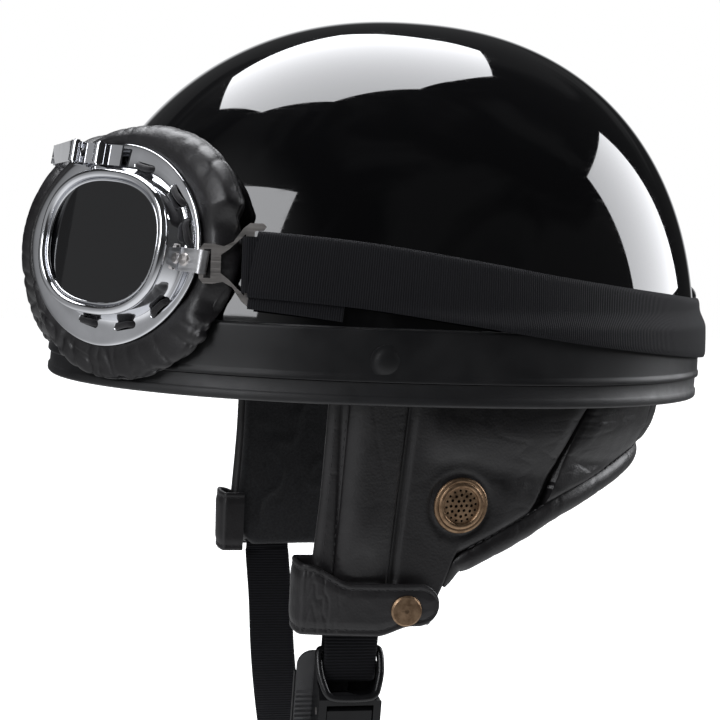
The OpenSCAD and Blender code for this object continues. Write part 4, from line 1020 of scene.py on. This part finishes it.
CHANNEL, TONGUE_X, TAIL, TONGUE_T = (4.5, 6.6), (-19.0, 2.0), (-46.0, -38.0), 1.8
tongue_mid = sum(TONGUE_X) / 2
bar_y, bar_z = CHANNEL[1] - 0.4 - TONGUE_T / 2, TAIL[0] + 1.2
round_bar = [[*from_buckle([tongue_mid, bar_y + a, bar_z + b]), 0] for a, b in (
    (-2.2, -9), (-2.4, -1), (-2.1, 2.0), (0, 3.2), (2.1, 2.0), (2.4, -1), (1.8, -9))]
under = [[-33, -58, -171, 0], [-31, -40, -178, 0], [-29, -18, -181, 0], [-27, 6, -180, 0], [-25.5, 30, -173, 0],
         [-25, 52, -157, 0], [-25, 68, -136, 0], [-25, 78, -113, 0], [STRAP_X, -web_y(-86) - 1, -93, 0]]
up = [[p[0], -p[1], p[2], -p[3]] for p in upper_web[::-1]]
web_right = webbing("webbing_right", round_bar + under + up, 10, WEB_W, WEB_T)
web_right.data.materials.append(WEBBING)
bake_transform(web_right)
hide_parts("chin_strap_right")

carried("buckle_housing", PLASTIC, 0.45)
carried("lever_pin", NICKEL, 0.2)
carried("lever_spring", NICKEL, 0.0)
carried("release_lever", PLASTIC, 0.4)
carried("buckle_tongue", moulded("tongue_nylon", (0.085, 0.085, 0.088), 0.32), 0.25)

RING_Z, RING_DEPTH, RING_HALF, RING_R = 10.0, 20.0, 12.4, 1.5
rest = math.asin((9 + RING_R + 0.1) / RING_DEPTH)


def ring_piece():
    lowx = RING_HALF - 1.6
    corners = [[-lowx + 4.5, -RING_DEPTH], [-lowx + 1.3, -RING_DEPTH + 1.4], [-lowx, -RING_DEPTH + 4.8],
               [-RING_HALF, -9], [-RING_HALF, -1.4], [-RING_HALF + 1.4, 0]]
    right = [[-a, b] for a, b in corners[::-1]]
    corners = np.array(corners + right)
    # rounded corners, each cut twice
    for _ in range(3):
        nxt = np.roll(corners, -1, 0)
        corners = np.stack([corners * 0.75 + nxt * 0.25, corners * 0.25 + nxt * 0.75], 1).reshape(-1, 2)
    c, s = math.cos(-rest), math.sin(-rest)
    local = np.stack([corners[:, 0], -corners[:, 1] * s, corners[:, 1] * c + RING_Z], -1)
    path = from_buckle(local)
    back = from_buckle(np.array([[0, 0, 0], [0, 1, 0]]))
    return tube_mesh("hanging_ring", path, RING_R, 20, closed=True, up=back[1] - back[0])


finish(ring_piece(), RING_STEEL, "hang_ring", ["d_ring"])


# ---------------------------------------------------------------------------
# Leather keeper at the back
# ---------------------------------------------------------------------------
KEEPER_W, KEEPER_T = 25.0, 2.2


def keeper_off(z):
    return np.where(z < 9, mix(3.2, 5.6, smooth((z - 3) / 6)), mix(5.6, 1, smooth((z - 41) / 7)))


def keeper():
    zs = np.linspace(-2, 66, 130)
    e = np.clip((zs - 58) / 8, 0, 1)
    half = KEEPER_W / 2 * np.sqrt(np.maximum(0.06, 1 - e * e * 0.94))
    up_pts = on_shell(0.0, zs, keeper_off(zs) + KEEPER_T / 2)
    t = np.linspace(0, 1, 46)
    low_path = spline([[-11, 4.5], [-10.6, -2.5], [-6, -3.9], [1.5, -3.9], [4.9, -3.4]], t) + [SHELL_A, 0]
    start = np.stack([low_path[:, 0], np.zeros(46), low_path[:, 1]], -1)
    centre = np.concatenate([start, up_pts[3:]])
    for _ in range(10):
        k = slice(40, 54)
        centre[k] = (centre[k] + (centre[39:53] + centre[41:55]) / 2) / 2
    half = np.concatenate([np.full(46, KEEPER_W / 2), half[3:]])
    thin = np.concatenate([np.linspace(1.6, 1.9, 46), np.full(len(zs) - 3, KEEPER_T)]) / 2
    cols = 41
    j = np.linspace(-1, 1, cols)
    d = np.gradient(centre, axis=0)
    n = unit(np.stack([d[:, 2], np.zeros(len(d)), -d[:, 0]], -1))
    pts = centre[:, None] + half[:, None, None] * j[None, :, None] * [0, 1, 0]
    pts[..., 0] -= (np.abs(half[:, None] * j[None, :]) ** 2) * 0.0009
    run = along(centre)
    dist = np.minimum((1 - np.abs(j))[None, :] * half[:, None], (run[-1] - run)[:, None] + 0.2)
    edge = np.sqrt(np.maximum(0, 1 - np.clip(1 - dist / 0.9, 0, 1) ** 2))
    groove = (-0.2 * np.exp(-((dist - 2.4) / 0.5) ** 2) + 0.18 * fbm(pts, 12, 51)
              - 0.3 * creases(pts, 10, 52, 4, (1, 0.4, 1.5)) * np.exp(-((run - 45) / 9) ** 2)[:, None])
    up = (thin[:, None] * (0.35 + 0.65 * edge) + groove * edge)[..., None]
    down = (thin[:, None] * (0.35 + 0.65 * edge))[..., None]
    uv = paired(run[:, None], half[:, None] * j)
    ob = outward(slab("keeper_strip", pts + n[:, None] * up, pts - n[:, None] * down, uv, 75))
    inset = 2.4
    face = pts + n[:, None] * (up - 0.05)
    k0, k1 = 52, int(np.searchsorted(run, run[-1] - inset - 1.2))
    at = lambda i, s: face[i, int(round((cols - 1) / 2 * (1 + s * max(0.0, 1 - inset / half[i]))))]
    rows_idx = list(range(k0, k1, 2))
    across = range(8, cols - 8, 6)
    path = [at(i, -1) for i in rows_idx] + [face[k1, c] for c in across] + [at(i, 1) for i in rows_idx[::-1]]
    normals = [n[i] for i in rows_idx] + [n[k1]] * len(across) + [n[i] for i in rows_idx[::-1]]
    return ob, stitches("keeper_stitch", path, normals, 3.3, 2.4, 0.26, 0.05, 0.4)


for ob, mat, slot in zip(keeper(), (TAB_LEATHER, THREAD), ("leather", "cord")):
    ob.data.materials.append(mat)
    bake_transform(ob)
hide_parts("strap_keeper", "keeper_anchor")
carried("keeper_snap", RING_STEEL, 0.3)
carried("keeper_stud", RING_STEEL, 0.0)


# ---------------------------------------------------------------------------
# Goggles. Their own frame: x towards the temple, y up, z outwards through the lens
# ---------------------------------------------------------------------------
_y, _p, _r = (math.radians(k) for k in (FRAME_YAW, FRAME_PITCH, FRAME_ROLL))
FRAME_AXES = np.array(Matrix.Rotation(_y - math.pi / 2, 3, "Z") @ Matrix.Rotation(math.pi / 2 - _p, 3, "X")
                      @ Matrix.Rotation(_r, 3, "Z"))


def from_frame(p):
    return np.asarray(p, float) @ FRAME_AXES.T + FRAME_AT


def oval(t, w, h, n, x0):
    return paired(x0 + w * spow(np.cos(t), 2 / n), h * spow(np.sin(t), 2 / n))


def frame_oval(t, s, out=0.0):
    """A point at angle t between the flange's edge (s = 0) and the lens's rim (s = 1)."""
    t, s, out = np.broadcast_arrays(*(np.asarray(k, float) for k in (t, s, out)))
    return mix(oval(t, FRAME_W + out, FRAME_H + out, 1.9, 0.0), oval(t, BEZEL_W + out, BEZEL_H + out, 2.4, BEZEL_X),
               s[..., None])


def even_angles(n):
    """Angles that space points evenly round the flange."""
    t = np.linspace(0, 2 * np.pi, 4001)
    p = frame_oval(t, 0.5)
    run = along(p)
    return np.interp(np.linspace(0, run[-1], n, endpoint=False), run, t)


def oval_ring(name, section, cols, smooth_angle=50):
    """A closed ring: section(t) gives a grid of local points, one closed section for each angle."""
    t = even_angles(cols)[:, None]
    pts = from_frame(section(t))
    return outward(grid(name, pts, close_rows=True, close_cols=True, smooth_angle=smooth_angle))


def with_z(p, z):
    return np.concatenate([p, np.broadcast_to(np.asarray(z, float), p.shape[:-1])[..., None]], -1)


LACE_ANGLES = np.radians([14, 42, 79, 138, 180, 222, 259, 287, 319])
LACE_S, LACE_HALF, LACE_W = 0.62, 5.2, 2.6
FLANGE = np.array([[0.0, -0.9], [-0.012, -0.62], [-0.014, -0.3], [0.0, -0.04], [0.03, 0.16], [0.1, 0.34], [0.25, 0.52],
                   [0.5, 0.72], [0.68, 1.1], [0.77, 1.7], [0.83, 2.9], [0.885, 5.0], [0.935, 7.2], [0.965, 8.45]])
FLANGE_BACK = np.array([[0.995, 8.45], [0.985, 7.0], [0.955, 4.6], [0.915, 2.6], [0.86, 1.3], [0.78, 0.6], [0.66, 0.1],
                        [0.5, -0.18], [0.25, -0.45], [0.1, -0.7]])


def dense(profile):
    """The profile with four points added between each two."""
    return spline(profile, np.linspace(0, 1, (len(profile) - 1) * 5 + 1))


def lace_place(angle):
    """Maps stitch-local points (x along the flange, y across it, z out) to the goggle's frame."""
    p, q = frame_oval(angle, LACE_S), frame_oval(angle + 0.03, LACE_S)
    a = math.atan2(q[1] - p[1], q[0] - p[0])
    c, s = math.cos(a), math.sin(a)
    return lambda k: np.stack([p[0] + k[..., 0] * c - k[..., 1] * s, p[1] + k[..., 0] * s + k[..., 1] * c,
                               k[..., 2]], -1)


def flange():
    share, z = np.concatenate([dense(FLANGE), FLANGE_BACK]).T
    return oval_ring("goggle_flange_left", lambda t: with_z(frame_oval(t, share), z + 0 * t), 300)


def slot_cutters():
    made = []
    for angle in LACE_ANGLES:
        place = lace_place(angle)
        a = np.linspace(-np.pi / 2, np.pi / 2, 10)
        r, half = LACE_W / 2 + 0.3, LACE_HALF + 0.35
        edge = np.concatenate([np.stack([half - r + r * np.cos(a), r * np.sin(a)], -1),
                               np.stack([-half + r - r * np.cos(a), -r * np.sin(a)], -1)])
        rings = np.stack([with_z(edge, -5.0), with_z(edge, 6.0)])
        pts = from_frame(place(rings))
        n = len(edge)
        faces = quads(2, n, close_cols=True) + [tuple(range(n)), tuple(range(n, 2 * n))[::-1]]
        made.append(outward(make("cutter", pts.reshape(-1, 3), faces)))
    return join("cutter", made)


def pierced(ob, cutter):
    """Cuts the lacing slots, and keeps the smooth shading that the uncut flange had."""
    smooth_copy = ob.copy()
    smooth_copy.data = ob.data.copy()
    bpy.context.scene.collection.objects.link(smooth_copy)
    cut(ob, cutter)
    shade(ob, 50)
    d = ob.modifiers.new("shading", "DATA_TRANSFER")
    d.object = smooth_copy
    d.use_loop_data = True
    d.data_types_loops = {"CUSTOM_NORMAL"}
    d.loop_mapping = "POLYINTERP_NEAREST"
    d.use_max_distance = True
    d.max_distance = 0.05 * MM
    bpy.ops.object.modifier_apply(modifier=d.name)
    bpy.data.objects.remove(smooth_copy)
    return ob


both_sides(pierced(flange(), slot_cutters()), "goggle_flange_right", CHROME, "goggles", "goggle_frame")


def bezel():
    """The rolled rim round the lens, with a thinner lip inside it."""
    r = 1.75
    a = np.radians(np.linspace(-75, 215, 22))
    roll = np.stack([r * np.cos(a) - 0.4, BEZEL_Z + 2.1 + r * np.sin(a) * 1.12], -1)
    lip = np.array([[-2.3, BEZEL_Z + 2.2], [-2.55, BEZEL_Z + 2.55], [-2.95, BEZEL_Z + 2.65], [-3.35, BEZEL_Z + 2.35],
                    [-3.45, BEZEL_Z + 1.6], [-2.9, BEZEL_Z + 0.4], [-1.6, BEZEL_Z + 0.1]])
    out, z = np.concatenate([roll, lip]).T
    return oval_ring("bezel_left", lambda t: with_z(frame_oval(t, 1.0, out), z + 0 * t), 260, 60)


both_sides(bezel(), "bezel_right", CHROME, "goggles", "lens_bezel")


def lens():
    """A lens made of two flat panes: a narrow one by the nose, folded back, and a wide one."""
    cols, rings = 180, 40
    t = np.linspace(0, 2 * np.pi, cols, endpoint=False)
    edge = frame_oval(t, 1.0, -2.9)
    k = np.linspace(0, 1, rings)[1:, None, None]
    centre = np.array([BEZEL_X, 0.0])
    flat = centre + (edge - centre)[None] * k
    fold_x = BEZEL_X - 0.55 * BEZEL_W
    drop = lambda x: np.where(x < fold_x, (fold_x - x) * 0.16, (x - fold_x) * 0.012)
    face = with_z(flat, BEZEL_Z + 2.3 - drop(flat[..., 0]))
    back = face - [0, 0, 1.5]
    n = face.shape[0] * cols
    verts = np.concatenate([face.reshape(-1, 3), back.reshape(-1, 3),
                            [[*centre, BEZEL_Z + 2.3 - float(drop(centre[0]))], [*centre, BEZEL_Z + 0.8]]])
    faces = quads(rings - 1, cols, close_cols=True)
    faces += [f[::-1] for f in quads(rings - 1, cols, close_cols=True, start=n)]
    last = (rings - 2) * cols
    for j in range(cols):
        q = (j + 1) % cols
        faces += [(2 * n, q, j), (2 * n + 1, n + j, n + q), (last + j, n + last + j, n + last + q, last + q)]
    return outward(make("lens_pane_left", from_frame(verts), faces, smooth_angle=4))


both_sides(lens(), "lens_pane_right", LENS, "goggles", "lens")


def outside(p, off):
    """Above 0 where a point is outside the shell's own shape moved off mm outwards."""
    z = np.maximum(0, p[..., 2])
    x = (p[..., 0] - CROWN_BACK * z / SHELL_H) / (SHELL_A + off)
    return (np.abs(x) ** PLAN_N + np.abs(p[..., 1] / (SHELL_B + off)) ** PLAN_N) ** (1 / PLAN_N) - girth(z, off)


def reach(xy, off):
    """Depth behind the frame's plane at which a line straight back from these points meets the shell."""
    low, high = np.zeros(xy.shape[:-1]), np.full(xy.shape[:-1], 50.0)
    for _ in range(14):
        mid_ = (low + high) / 2
        far = outside(from_frame(with_z(xy, -mid_)), off) > 0
        low, high = np.where(far, mid_, low), np.where(far, high, mid_)
    return (low + high) / 2


def pad_swell(t):
    return (9 + 7 * smooth((np.cos(t) + 0.2) / 1.2) + 2.5 * smooth((-np.sin(t) - 0.2) / 0.8)
            - 3 * smooth((-np.cos(t) - 0.3) / 0.7))


def pad():
    """A leather ring stuffed with foam, gathered all round its outer seam and pressed against the shell."""
    cols = 420
    t = even_angles(cols)
    press = smooth((np.cos(t + math.radians(3)) - 0.86) / 0.1)
    b = pad_swell(t) - 5.5 * press
    deep = lambda o: np.maximum(reach(frame_oval(t, 0.0, o), 3.1), 2.8)
    d = deep(0.3 * b)
    front = -1.5
    keys = [(-8 + 0 * t, front + 0 * t), (mix(-1, -2, press), mix(front, -2.6, press)),
            (0.4 * b, mix(-0.8, -3.4, press)), (0.85 * b, mix(-0.22 * d - 0.8, -8.2, press)),
            (b, -np.maximum(0.55 * deep(b), 12 * press)),
            (0.85 * b, -0.86 * deep(0.85 * b)), (0.3 * b, -d), (-8 + 0 * t, -deep(-8 + 0 * t))]
    keys = np.array([[k[0], k[1]] for k in keys]).transpose(2, 0, 1)          # angle, key, (out, z)
    m, per = keys.shape[1], 8
    section = []
    for k in range(m):
        a_, b_, c_, d_ = (keys[:, (k + q) % m] for q in (-1, 0, 1, 2))
        for f in np.arange(per) / per:
            tight = 0.42
            section.append(b_ + (c_ - a_) * f * tight
                           + (2 * a_ * tight + b_ * (tight - 3) + c_ * (3 - 2 * tight) - d_ * tight) * f * f
                           + (-a_ * tight + b_ * (2 - tight) + c_ * (tight - 2) + d_ * tight) * f ** 3)
    section = np.stack(section, 1)                                            # angle, point, (out, z)
    plain = with_z(frame_oval(t[:, None], 0.0, section[..., 0]), section[..., 1])
    world = from_frame(plain)
    n = unit(np.cross(np.gradient(world, axis=0), np.gradient(world, axis=1)))
    centre = world.mean(1, keepdims=True)
    n *= np.sign((n * (world - centre)).sum(-1))[..., None]
    # gathers: strongest round the outer seam and the bottom, fading towards the metal
    s = np.arange(section.shape[1]) / section.shape[1]
    at_seam = np.exp(-((s - 0.5) / 0.17) ** 2)[None, :]
    at_front = np.exp(-((s - 0.27) / 0.13) ** 2)[None, :]
    arc_len = np.linspace(0, 1, cols, endpoint=False)[:, None] * 290
    circle = np.stack([np.cos(t) * 30, np.sin(t) * 30, 0 * t], -1)
    warp = 2.6 * fbm(circle, 9, 61)[:, None] + 0.9 * np.sin(s * 9)[None, :]
    pleat = np.abs(np.sin((arc_len + warp * 2.2) * np.pi / 7.6)) ** 0.55
    low_side = smooth((-np.sin(t) + 0.15) / 0.8)[:, None]
    depth = (0.7 + 0.6 * low_side) * at_seam + (0.05 + 0.35 * low_side) * at_front
    out = -(1 - pleat) * depth * (0.75 + 0.5 * fbm(world, 13, 62))
    out = out - (0.12 + 0.5 * low_side) * creases(world, 17, 63, 4.5) * (at_front + at_seam)
    out = out + 0.3 * fbm(world, 24, 64) * at_seam
    out = out * (1 - 0.5 * press[:, None])
    # the outer seam itself
    out = out - 0.55 * np.exp(-((s - 0.5) / 0.012) ** 2)[None, :]
    pts = world + n * out[..., None]
    return outward(grid("pad_left", pts, close_rows=True, close_cols=True, smooth_angle=80))


both_sides(pad(), "pad_right", PAD_LEATHER, "goggles", "goggle_pad")


def lacing():
    """Short lengths of cord that come up through one end of each slot and go down through the other."""
    made = []
    for k, angle in enumerate(LACE_ANGLES):
        place = lace_place(angle)
        f = np.linspace(-1, 1, 30)
        line = np.stack([f * (LACE_HALF - 0.3), 0.15 * np.sin(3 * f + k), 1.75 - 3.6 * np.abs(f) ** 5], -1)
        path = from_frame(place(line))
        up_dir = np.broadcast_to(FRAME_AXES[:, 2], path.shape)
        made.append(tube_mesh(f"lace_{k}", path, 1.2, 12, up=up_dir, flat=1.05))
    return join("lacing_left", made)


both_sides(lacing(), "lacing_right", CORD, "goggles", "pad_lacing")

for node in ("bridge_strip", "bridge_pins", "bridge_clips"):
    carried(node, CHROME, 0.2)
for side in ("left", "right"):
    carried(f"side_clip_{side}", CLIP_STEEL, 0.18)
    carried(f"strap_bracket_{side}", NICKEL, 0.25)
carried("clip_rivets", NICKEL, 0.2)

# ---------------------------------------------------------------------------
# Elastic strap
# ---------------------------------------------------------------------------
BRACKET_AT = from_frame([46.8, -2.0, 0.15]) + [0, 0, -0.4]
BRACKET_TURN, BRACKET_LEAN, END_BAR, BAR_X = math.radians(-6), math.radians(5), 1.7, 18.6
BRACKET_AXES = np.array(Matrix.Rotation(BRACKET_TURN, 3, "Z") @ Matrix.Rotation(math.pi / 2 - BRACKET_LEAN, 3, "X"))


def from_bracket(p):
    return (np.asarray(p, float) - [END_BAR / 2, 0, 0]) @ BRACKET_AXES.T + BRACKET_AT


def strap_height(x):
    return spline([50, 47.5, 42.5, 36.8, 32.2, 28.4], np.clip((x + 76) / 212, 0, 1))


def strap_off(z):
    return 0.9 + 2.2 * smooth((37 - z) / 8)


def strap_place(u, v, off, drop):
    guess = on_shell(u, 45, 3)[..., 0]
    z = strap_height(guess) + v * ELASTIC_W / 2 - drop
    near = smooth((-28 - guess) / 44)
    return on_shell(u, z, off + mix(strap_off(z), 5.4, near))


def strap_band(name, u, width_share, thick, lift, droop=0.0):
    """A stretch of the elastic round the shell, lift mm off its plain path and droop mm lower."""
    rows = 26
    v = np.linspace(-1, 1, rows)[:, None] * width_share
    selv = 1 - 0.35 * np.exp(-((1 - np.abs(v / width_share)) * 14) ** 2)
    base = strap_place(u[None, :], v, lift, droop)
    face = strap_place(u[None, :], v, lift + thick * selv, droop)
    uv = paired(along(base[rows // 2]), v * ELASTIC_W / 2)
    return outward(slab(name, face, base, uv, 60))


def elastic():
    start_x = BRACKET_AT[0] - END_BAR / 2 + BAR_X + 1.5
    u_end = float(angle_of_x(start_x / 0.96 - 2.4, 5.4))
    main = strap_band("elastic_main", np.linspace(-u_end, u_end, 520), 1.0, 1.5, 0.3)
    # on each side the end goes round the bracket's bar and is sewn back under the strap, a little lower
    made = [main]
    u2 = np.linspace(-u_end, -float(angle_of_x(-44, 5.4)), 60)
    lap = strap_band("elastic_lap", u2, 0.93, 1.1, -1.2, droop=np.linspace(5.2, 6.6, 60))
    made += [lap, mirrored(lap, "elastic_lap_m")]
    a = np.linspace(-np.pi / 2, np.pi / 2, 14)
    r0, r1 = 0.95, 2.35
    bend = lambda x0, r, angles: [(x0 - r * math.cos(k), r * math.sin(k)) for k in angles]
    end_x = BAR_X + 3.4
    prof = np.array([(end_x, -r1)] + bend(BAR_X - 0.55, r1, a) + [(end_x, r1)]
                    + [(end_x, r0)] + bend(BAR_X - 0.9, r0, a[::-1]) + [(end_x, -r0)])
    ys = np.linspace(-ELASTIC_W / 2 + 1.8, ELASTIC_W / 2 - 1.8, 24)
    pts = np.stack([np.stack([prof[:, 0], np.full(len(prof), y), prof[:, 1]], -1) for y in ys])
    uv = paired(along(prof), ys[:, None])
    loop = capped_grid("elastic_loop", from_bracket(pts), uv, 50)
    made += [loop, mirrored(loop, "elastic_loop_m")]
    return join("elastic_band", made)


finish(elastic(), ELASTIC, "goggles", ["elastic_strap"])


# ---------------------------------------------------------------------------
# Stitching on the skirt
# ---------------------------------------------------------------------------
def skirt_row(xs, zs, lift, name):
    path = at_x(xs, zs, lift)
    normal = path - at_x(xs, zs, lift - 2)
    return stitches(name, path, normal, 3.4, 2.5, 0.28, 0.0, 0.45)


rows_made = []
zz = np.linspace(-68, -5, 60)
for offset, name in ((-38.6, "stitch_front"), (-34.6, "stitch_front_inner")):
    xs = offset + 0.05 * zz
    rows_made.append(skirt_row(xs, zz, flap_face(xs, zz, FLAP_BOTTOM) - 0.1, name))
ang = np.linspace(-1, 1, 300) * float(angle_of_x(17.0, SKIRT_OFF))
upper = skirt_point(ang, hem_height(plan(np.abs(ang), SKIRT_OFF)[0]) + 2 * HEM_R - 0.9, -0.9)
hem_normal = upper - skirt_point(ang, hem_height(plan(np.abs(ang), SKIRT_OFF)[0]) + HEM_R - 2.0, -5.0)
row = stitches("hem_stitch", upper, hem_normal, 3.8, 2.8, 0.3, 0.0, 0.4)
mirror_rows = [mirrored(o, o.name + "_m") for o in rows_made]
finish(join("skirt_stitching", rows_made + mirror_rows + [row]), THREAD, "helmet")

# ---------------------------------------------------------------------------
# Camera, floor, lights and surroundings
# ---------------------------------------------------------------------------
scene = bpy.context.scene
CAMERA_DISTANCE, CAMERA_LENS = 0.8, 92.5         # metres from the target, millimetres
CAMERA_AZIMUTH, CAMERA_ELEVATION, CAMERA_ROLL = -14.2, 4.45, 2.6
ca, ce, cr = (math.radians(k) for k in (CAMERA_AZIMUTH, CAMERA_ELEVATION, CAMERA_ROLL))
back = Vector((math.sin(ca) * math.cos(ce), -math.cos(ca) * math.cos(ce), math.sin(ce)))
right = Vector((math.cos(ca), math.sin(ca), 0))
up_ = back.cross(right)
cam_x = math.cos(cr) * right + math.sin(cr) * up_
cam_y = -math.sin(cr) * right + math.cos(cr) * up_
target = Vector((-0.006, 0, 0.0074))
cam_data = bpy.data.cameras.new("camera")
cam = bpy.data.objects.new("camera", cam_data)
scene.collection.objects.link(cam)
m4 = Matrix((cam_x, cam_y, back)).transposed().to_4x4()
m4.translation = target + back * CAMERA_DISTANCE
cam.matrix_world = m4
cam_data.lens, cam_data.sensor_width, cam_data.sensor_fit = CAMERA_LENS, 36, "HORIZONTAL"
cam_data.clip_start, cam_data.clip_end = 0.01, 50
cam_data.dof.use_dof = False
scene.camera = cam


def quad(x0, x1, y0, y1, taper=1.0):
    """Corners of a four-sided outline whose far edge may taper."""
    return [(x0, y0), (x1, y0), (x1 * taper, y1), (x0, y1)]


FLOOR_Z = -232.0                # just below the webbing when the buckle is pulled open


def pale_plane():
    floor = make("floor", [[x, y, FLOOR_Z] for x, y in quad(-4000, 4000, -4000, 4000)], [(0, 1, 2, 3)])
    m = Look("pale_floor", (0.5, 0.5, 0.5), 0.9)
    m.into("Base Color", m.ramp(m.noise(3, 2), (0.46, 0.46, 0.46), (0.52, 0.52, 0.52), (0.3, 0.7)))
    m.set("Emission Color", (1, 1, 1, 1))
    m.set("Emission Strength", 0.95)
    floor.data.materials.append(m.mat)
    floor.visible_glossy = False
    floor.visible_diffuse = False
    return floor


pale_plane()


def add_node(tree, kind, inputs=None, **attributes):
    """A shader node with its constant inputs and its attributes set."""
    n = tree.nodes.new("ShaderNode" + kind)
    for key, value in attributes.items():
        setattr(n, key, value)
    for key, value in (inputs or {}).items():
        n.inputs[key].default_value = value
    return n


PANEL_DISTANCE, PANEL_TINT = 3.0, (0.96, 0.97, 1, 1)


def octagon(half_x, half_y):
    """An eight-sided outline whose sides are slightly hollow."""
    outline = []
    for k in range(8):
        t0, t1 = 2 * math.pi * (k + 0.5) / 8, 2 * math.pi * (k + 1.5) / 8
        for f in np.linspace(0, 1, 8, endpoint=False):
            dent = 1 - 0.004 * math.sin(math.pi * f)
            outline.append((mix(math.cos(t0), math.cos(t1), f) * dent * half_x,
                            mix(math.sin(t0), math.sin(t1), f) * dent * half_y))
    return outline


def light_panel(name, direction, radiance, outline):
    """A glowing panel facing the helmet, seen only in reflections and by its light."""
    c = Vector(direction).normalized()
    side = Vector((0, 0, 1)).cross(c).normalized()
    rise = c.cross(side)
    base = Vector((0, 0, 0.05)) + c * PANEL_DISTANCE
    pts = [list((base + (side * px + rise * py) * PANEL_DISTANCE) * 1000) for px, py in outline]
    ob = make(name, pts, [tuple(range(len(pts)))])
    mat = bpy.data.materials.new(name)
    mat.use_nodes = True
    tree = mat.node_tree
    tree.nodes.clear()
    out = add_node(tree, "OutputMaterial")
    glow = add_node(tree, "Emission", {"Color": PANEL_TINT, "Strength": radiance})
    tree.links.new(glow.outputs[0], out.inputs["Surface"])
    ob.data.materials.append(mat)
    ob.visible_camera = False


light_panel("softbox_top", (-0.045, 0.35, 0.935), 6.0, octagon(0.53, 0.53))
light_panel("softbox_right", (0.921, 0.079, 0.381), 5.5, quad(-0.30, 0.39, -0.32, 0.27, taper=0.5))
light_panel("window_left", (-0.672, -0.585, 0.454), 5.0, quad(-0.19, 0.19, -0.30, 0.30))

world = bpy.data.worlds.new("studio")
scene.world = world
world.use_nodes = True
wt = world.node_tree
wt.nodes.clear()
link = wt.links.new
w_out = add_node(wt, "OutputWorld")
path_node = add_node(wt, "LightPath")
mix_node = add_node(wt, "MixShader")
seen = add_node(wt, "Background", {"Color": (1, 1, 1, 1), "Strength": 1.0})
around = add_node(wt, "Background", {"Color": (0.97, 0.98, 1.0, 1)})
geo = add_node(wt, "TexCoord")


def patch(direction, inner, outer, value):
    """A soft-edged bright patch of the surroundings in one direction."""
    dot = add_node(wt, "VectorMath", {1: Vector(direction).normalized()}, operation="DOT_PRODUCT")
    link(geo.outputs["Generated"], dot.inputs[0])
    edge, full = math.cos(math.radians(outer)), math.cos(math.radians(inner))
    rng = add_node(wt, "MapRange", {"From Min": edge, "From Max": full, "To Max": value},
                   interpolation_type="SMOOTHSTEP")
    link(dot.outputs["Value"], rng.inputs["Value"])
    return rng.outputs["Result"]


room = add_node(wt, "TexNoise", {"Scale": 1.7, "Detail": 3.0, "Distortion": 0.8})
link(geo.outputs["Generated"], room.inputs["Vector"])
uneven = add_node(wt, "MapRange", {"From Min": 0.44, "From Max": 0.6, "To Min": 0.02, "To Max": 0.05},
                  interpolation_type="SMOOTHSTEP")
link(room.outputs["Fac"], uneven.inputs["Value"])
glow = uneven.outputs["Result"]
for direction, inner, outer, value in (((0.245, 0.966, -0.078), 12, 26, 0.8), ((0, 0, -1), 30, 92, 0.8),
                                       ((-1.0, -0.35, 0.10), 12, 55, 0.30)):
    both_lights = add_node(wt, "Math", operation="ADD")
    link(glow, both_lights.inputs[0])
    link(patch(direction, inner, outer, value), both_lights.inputs[1])
    glow = both_lights.outputs[0]
link(glow, around.inputs["Strength"])
link(path_node.outputs["Is Camera Ray"], mix_node.inputs["Fac"])
link(around.outputs[0], mix_node.inputs[1])
link(seen.outputs[0], mix_node.inputs[2])
link(mix_node.outputs[0], w_out.inputs["Surface"])
scene.view_settings.view_transform = "Standard"
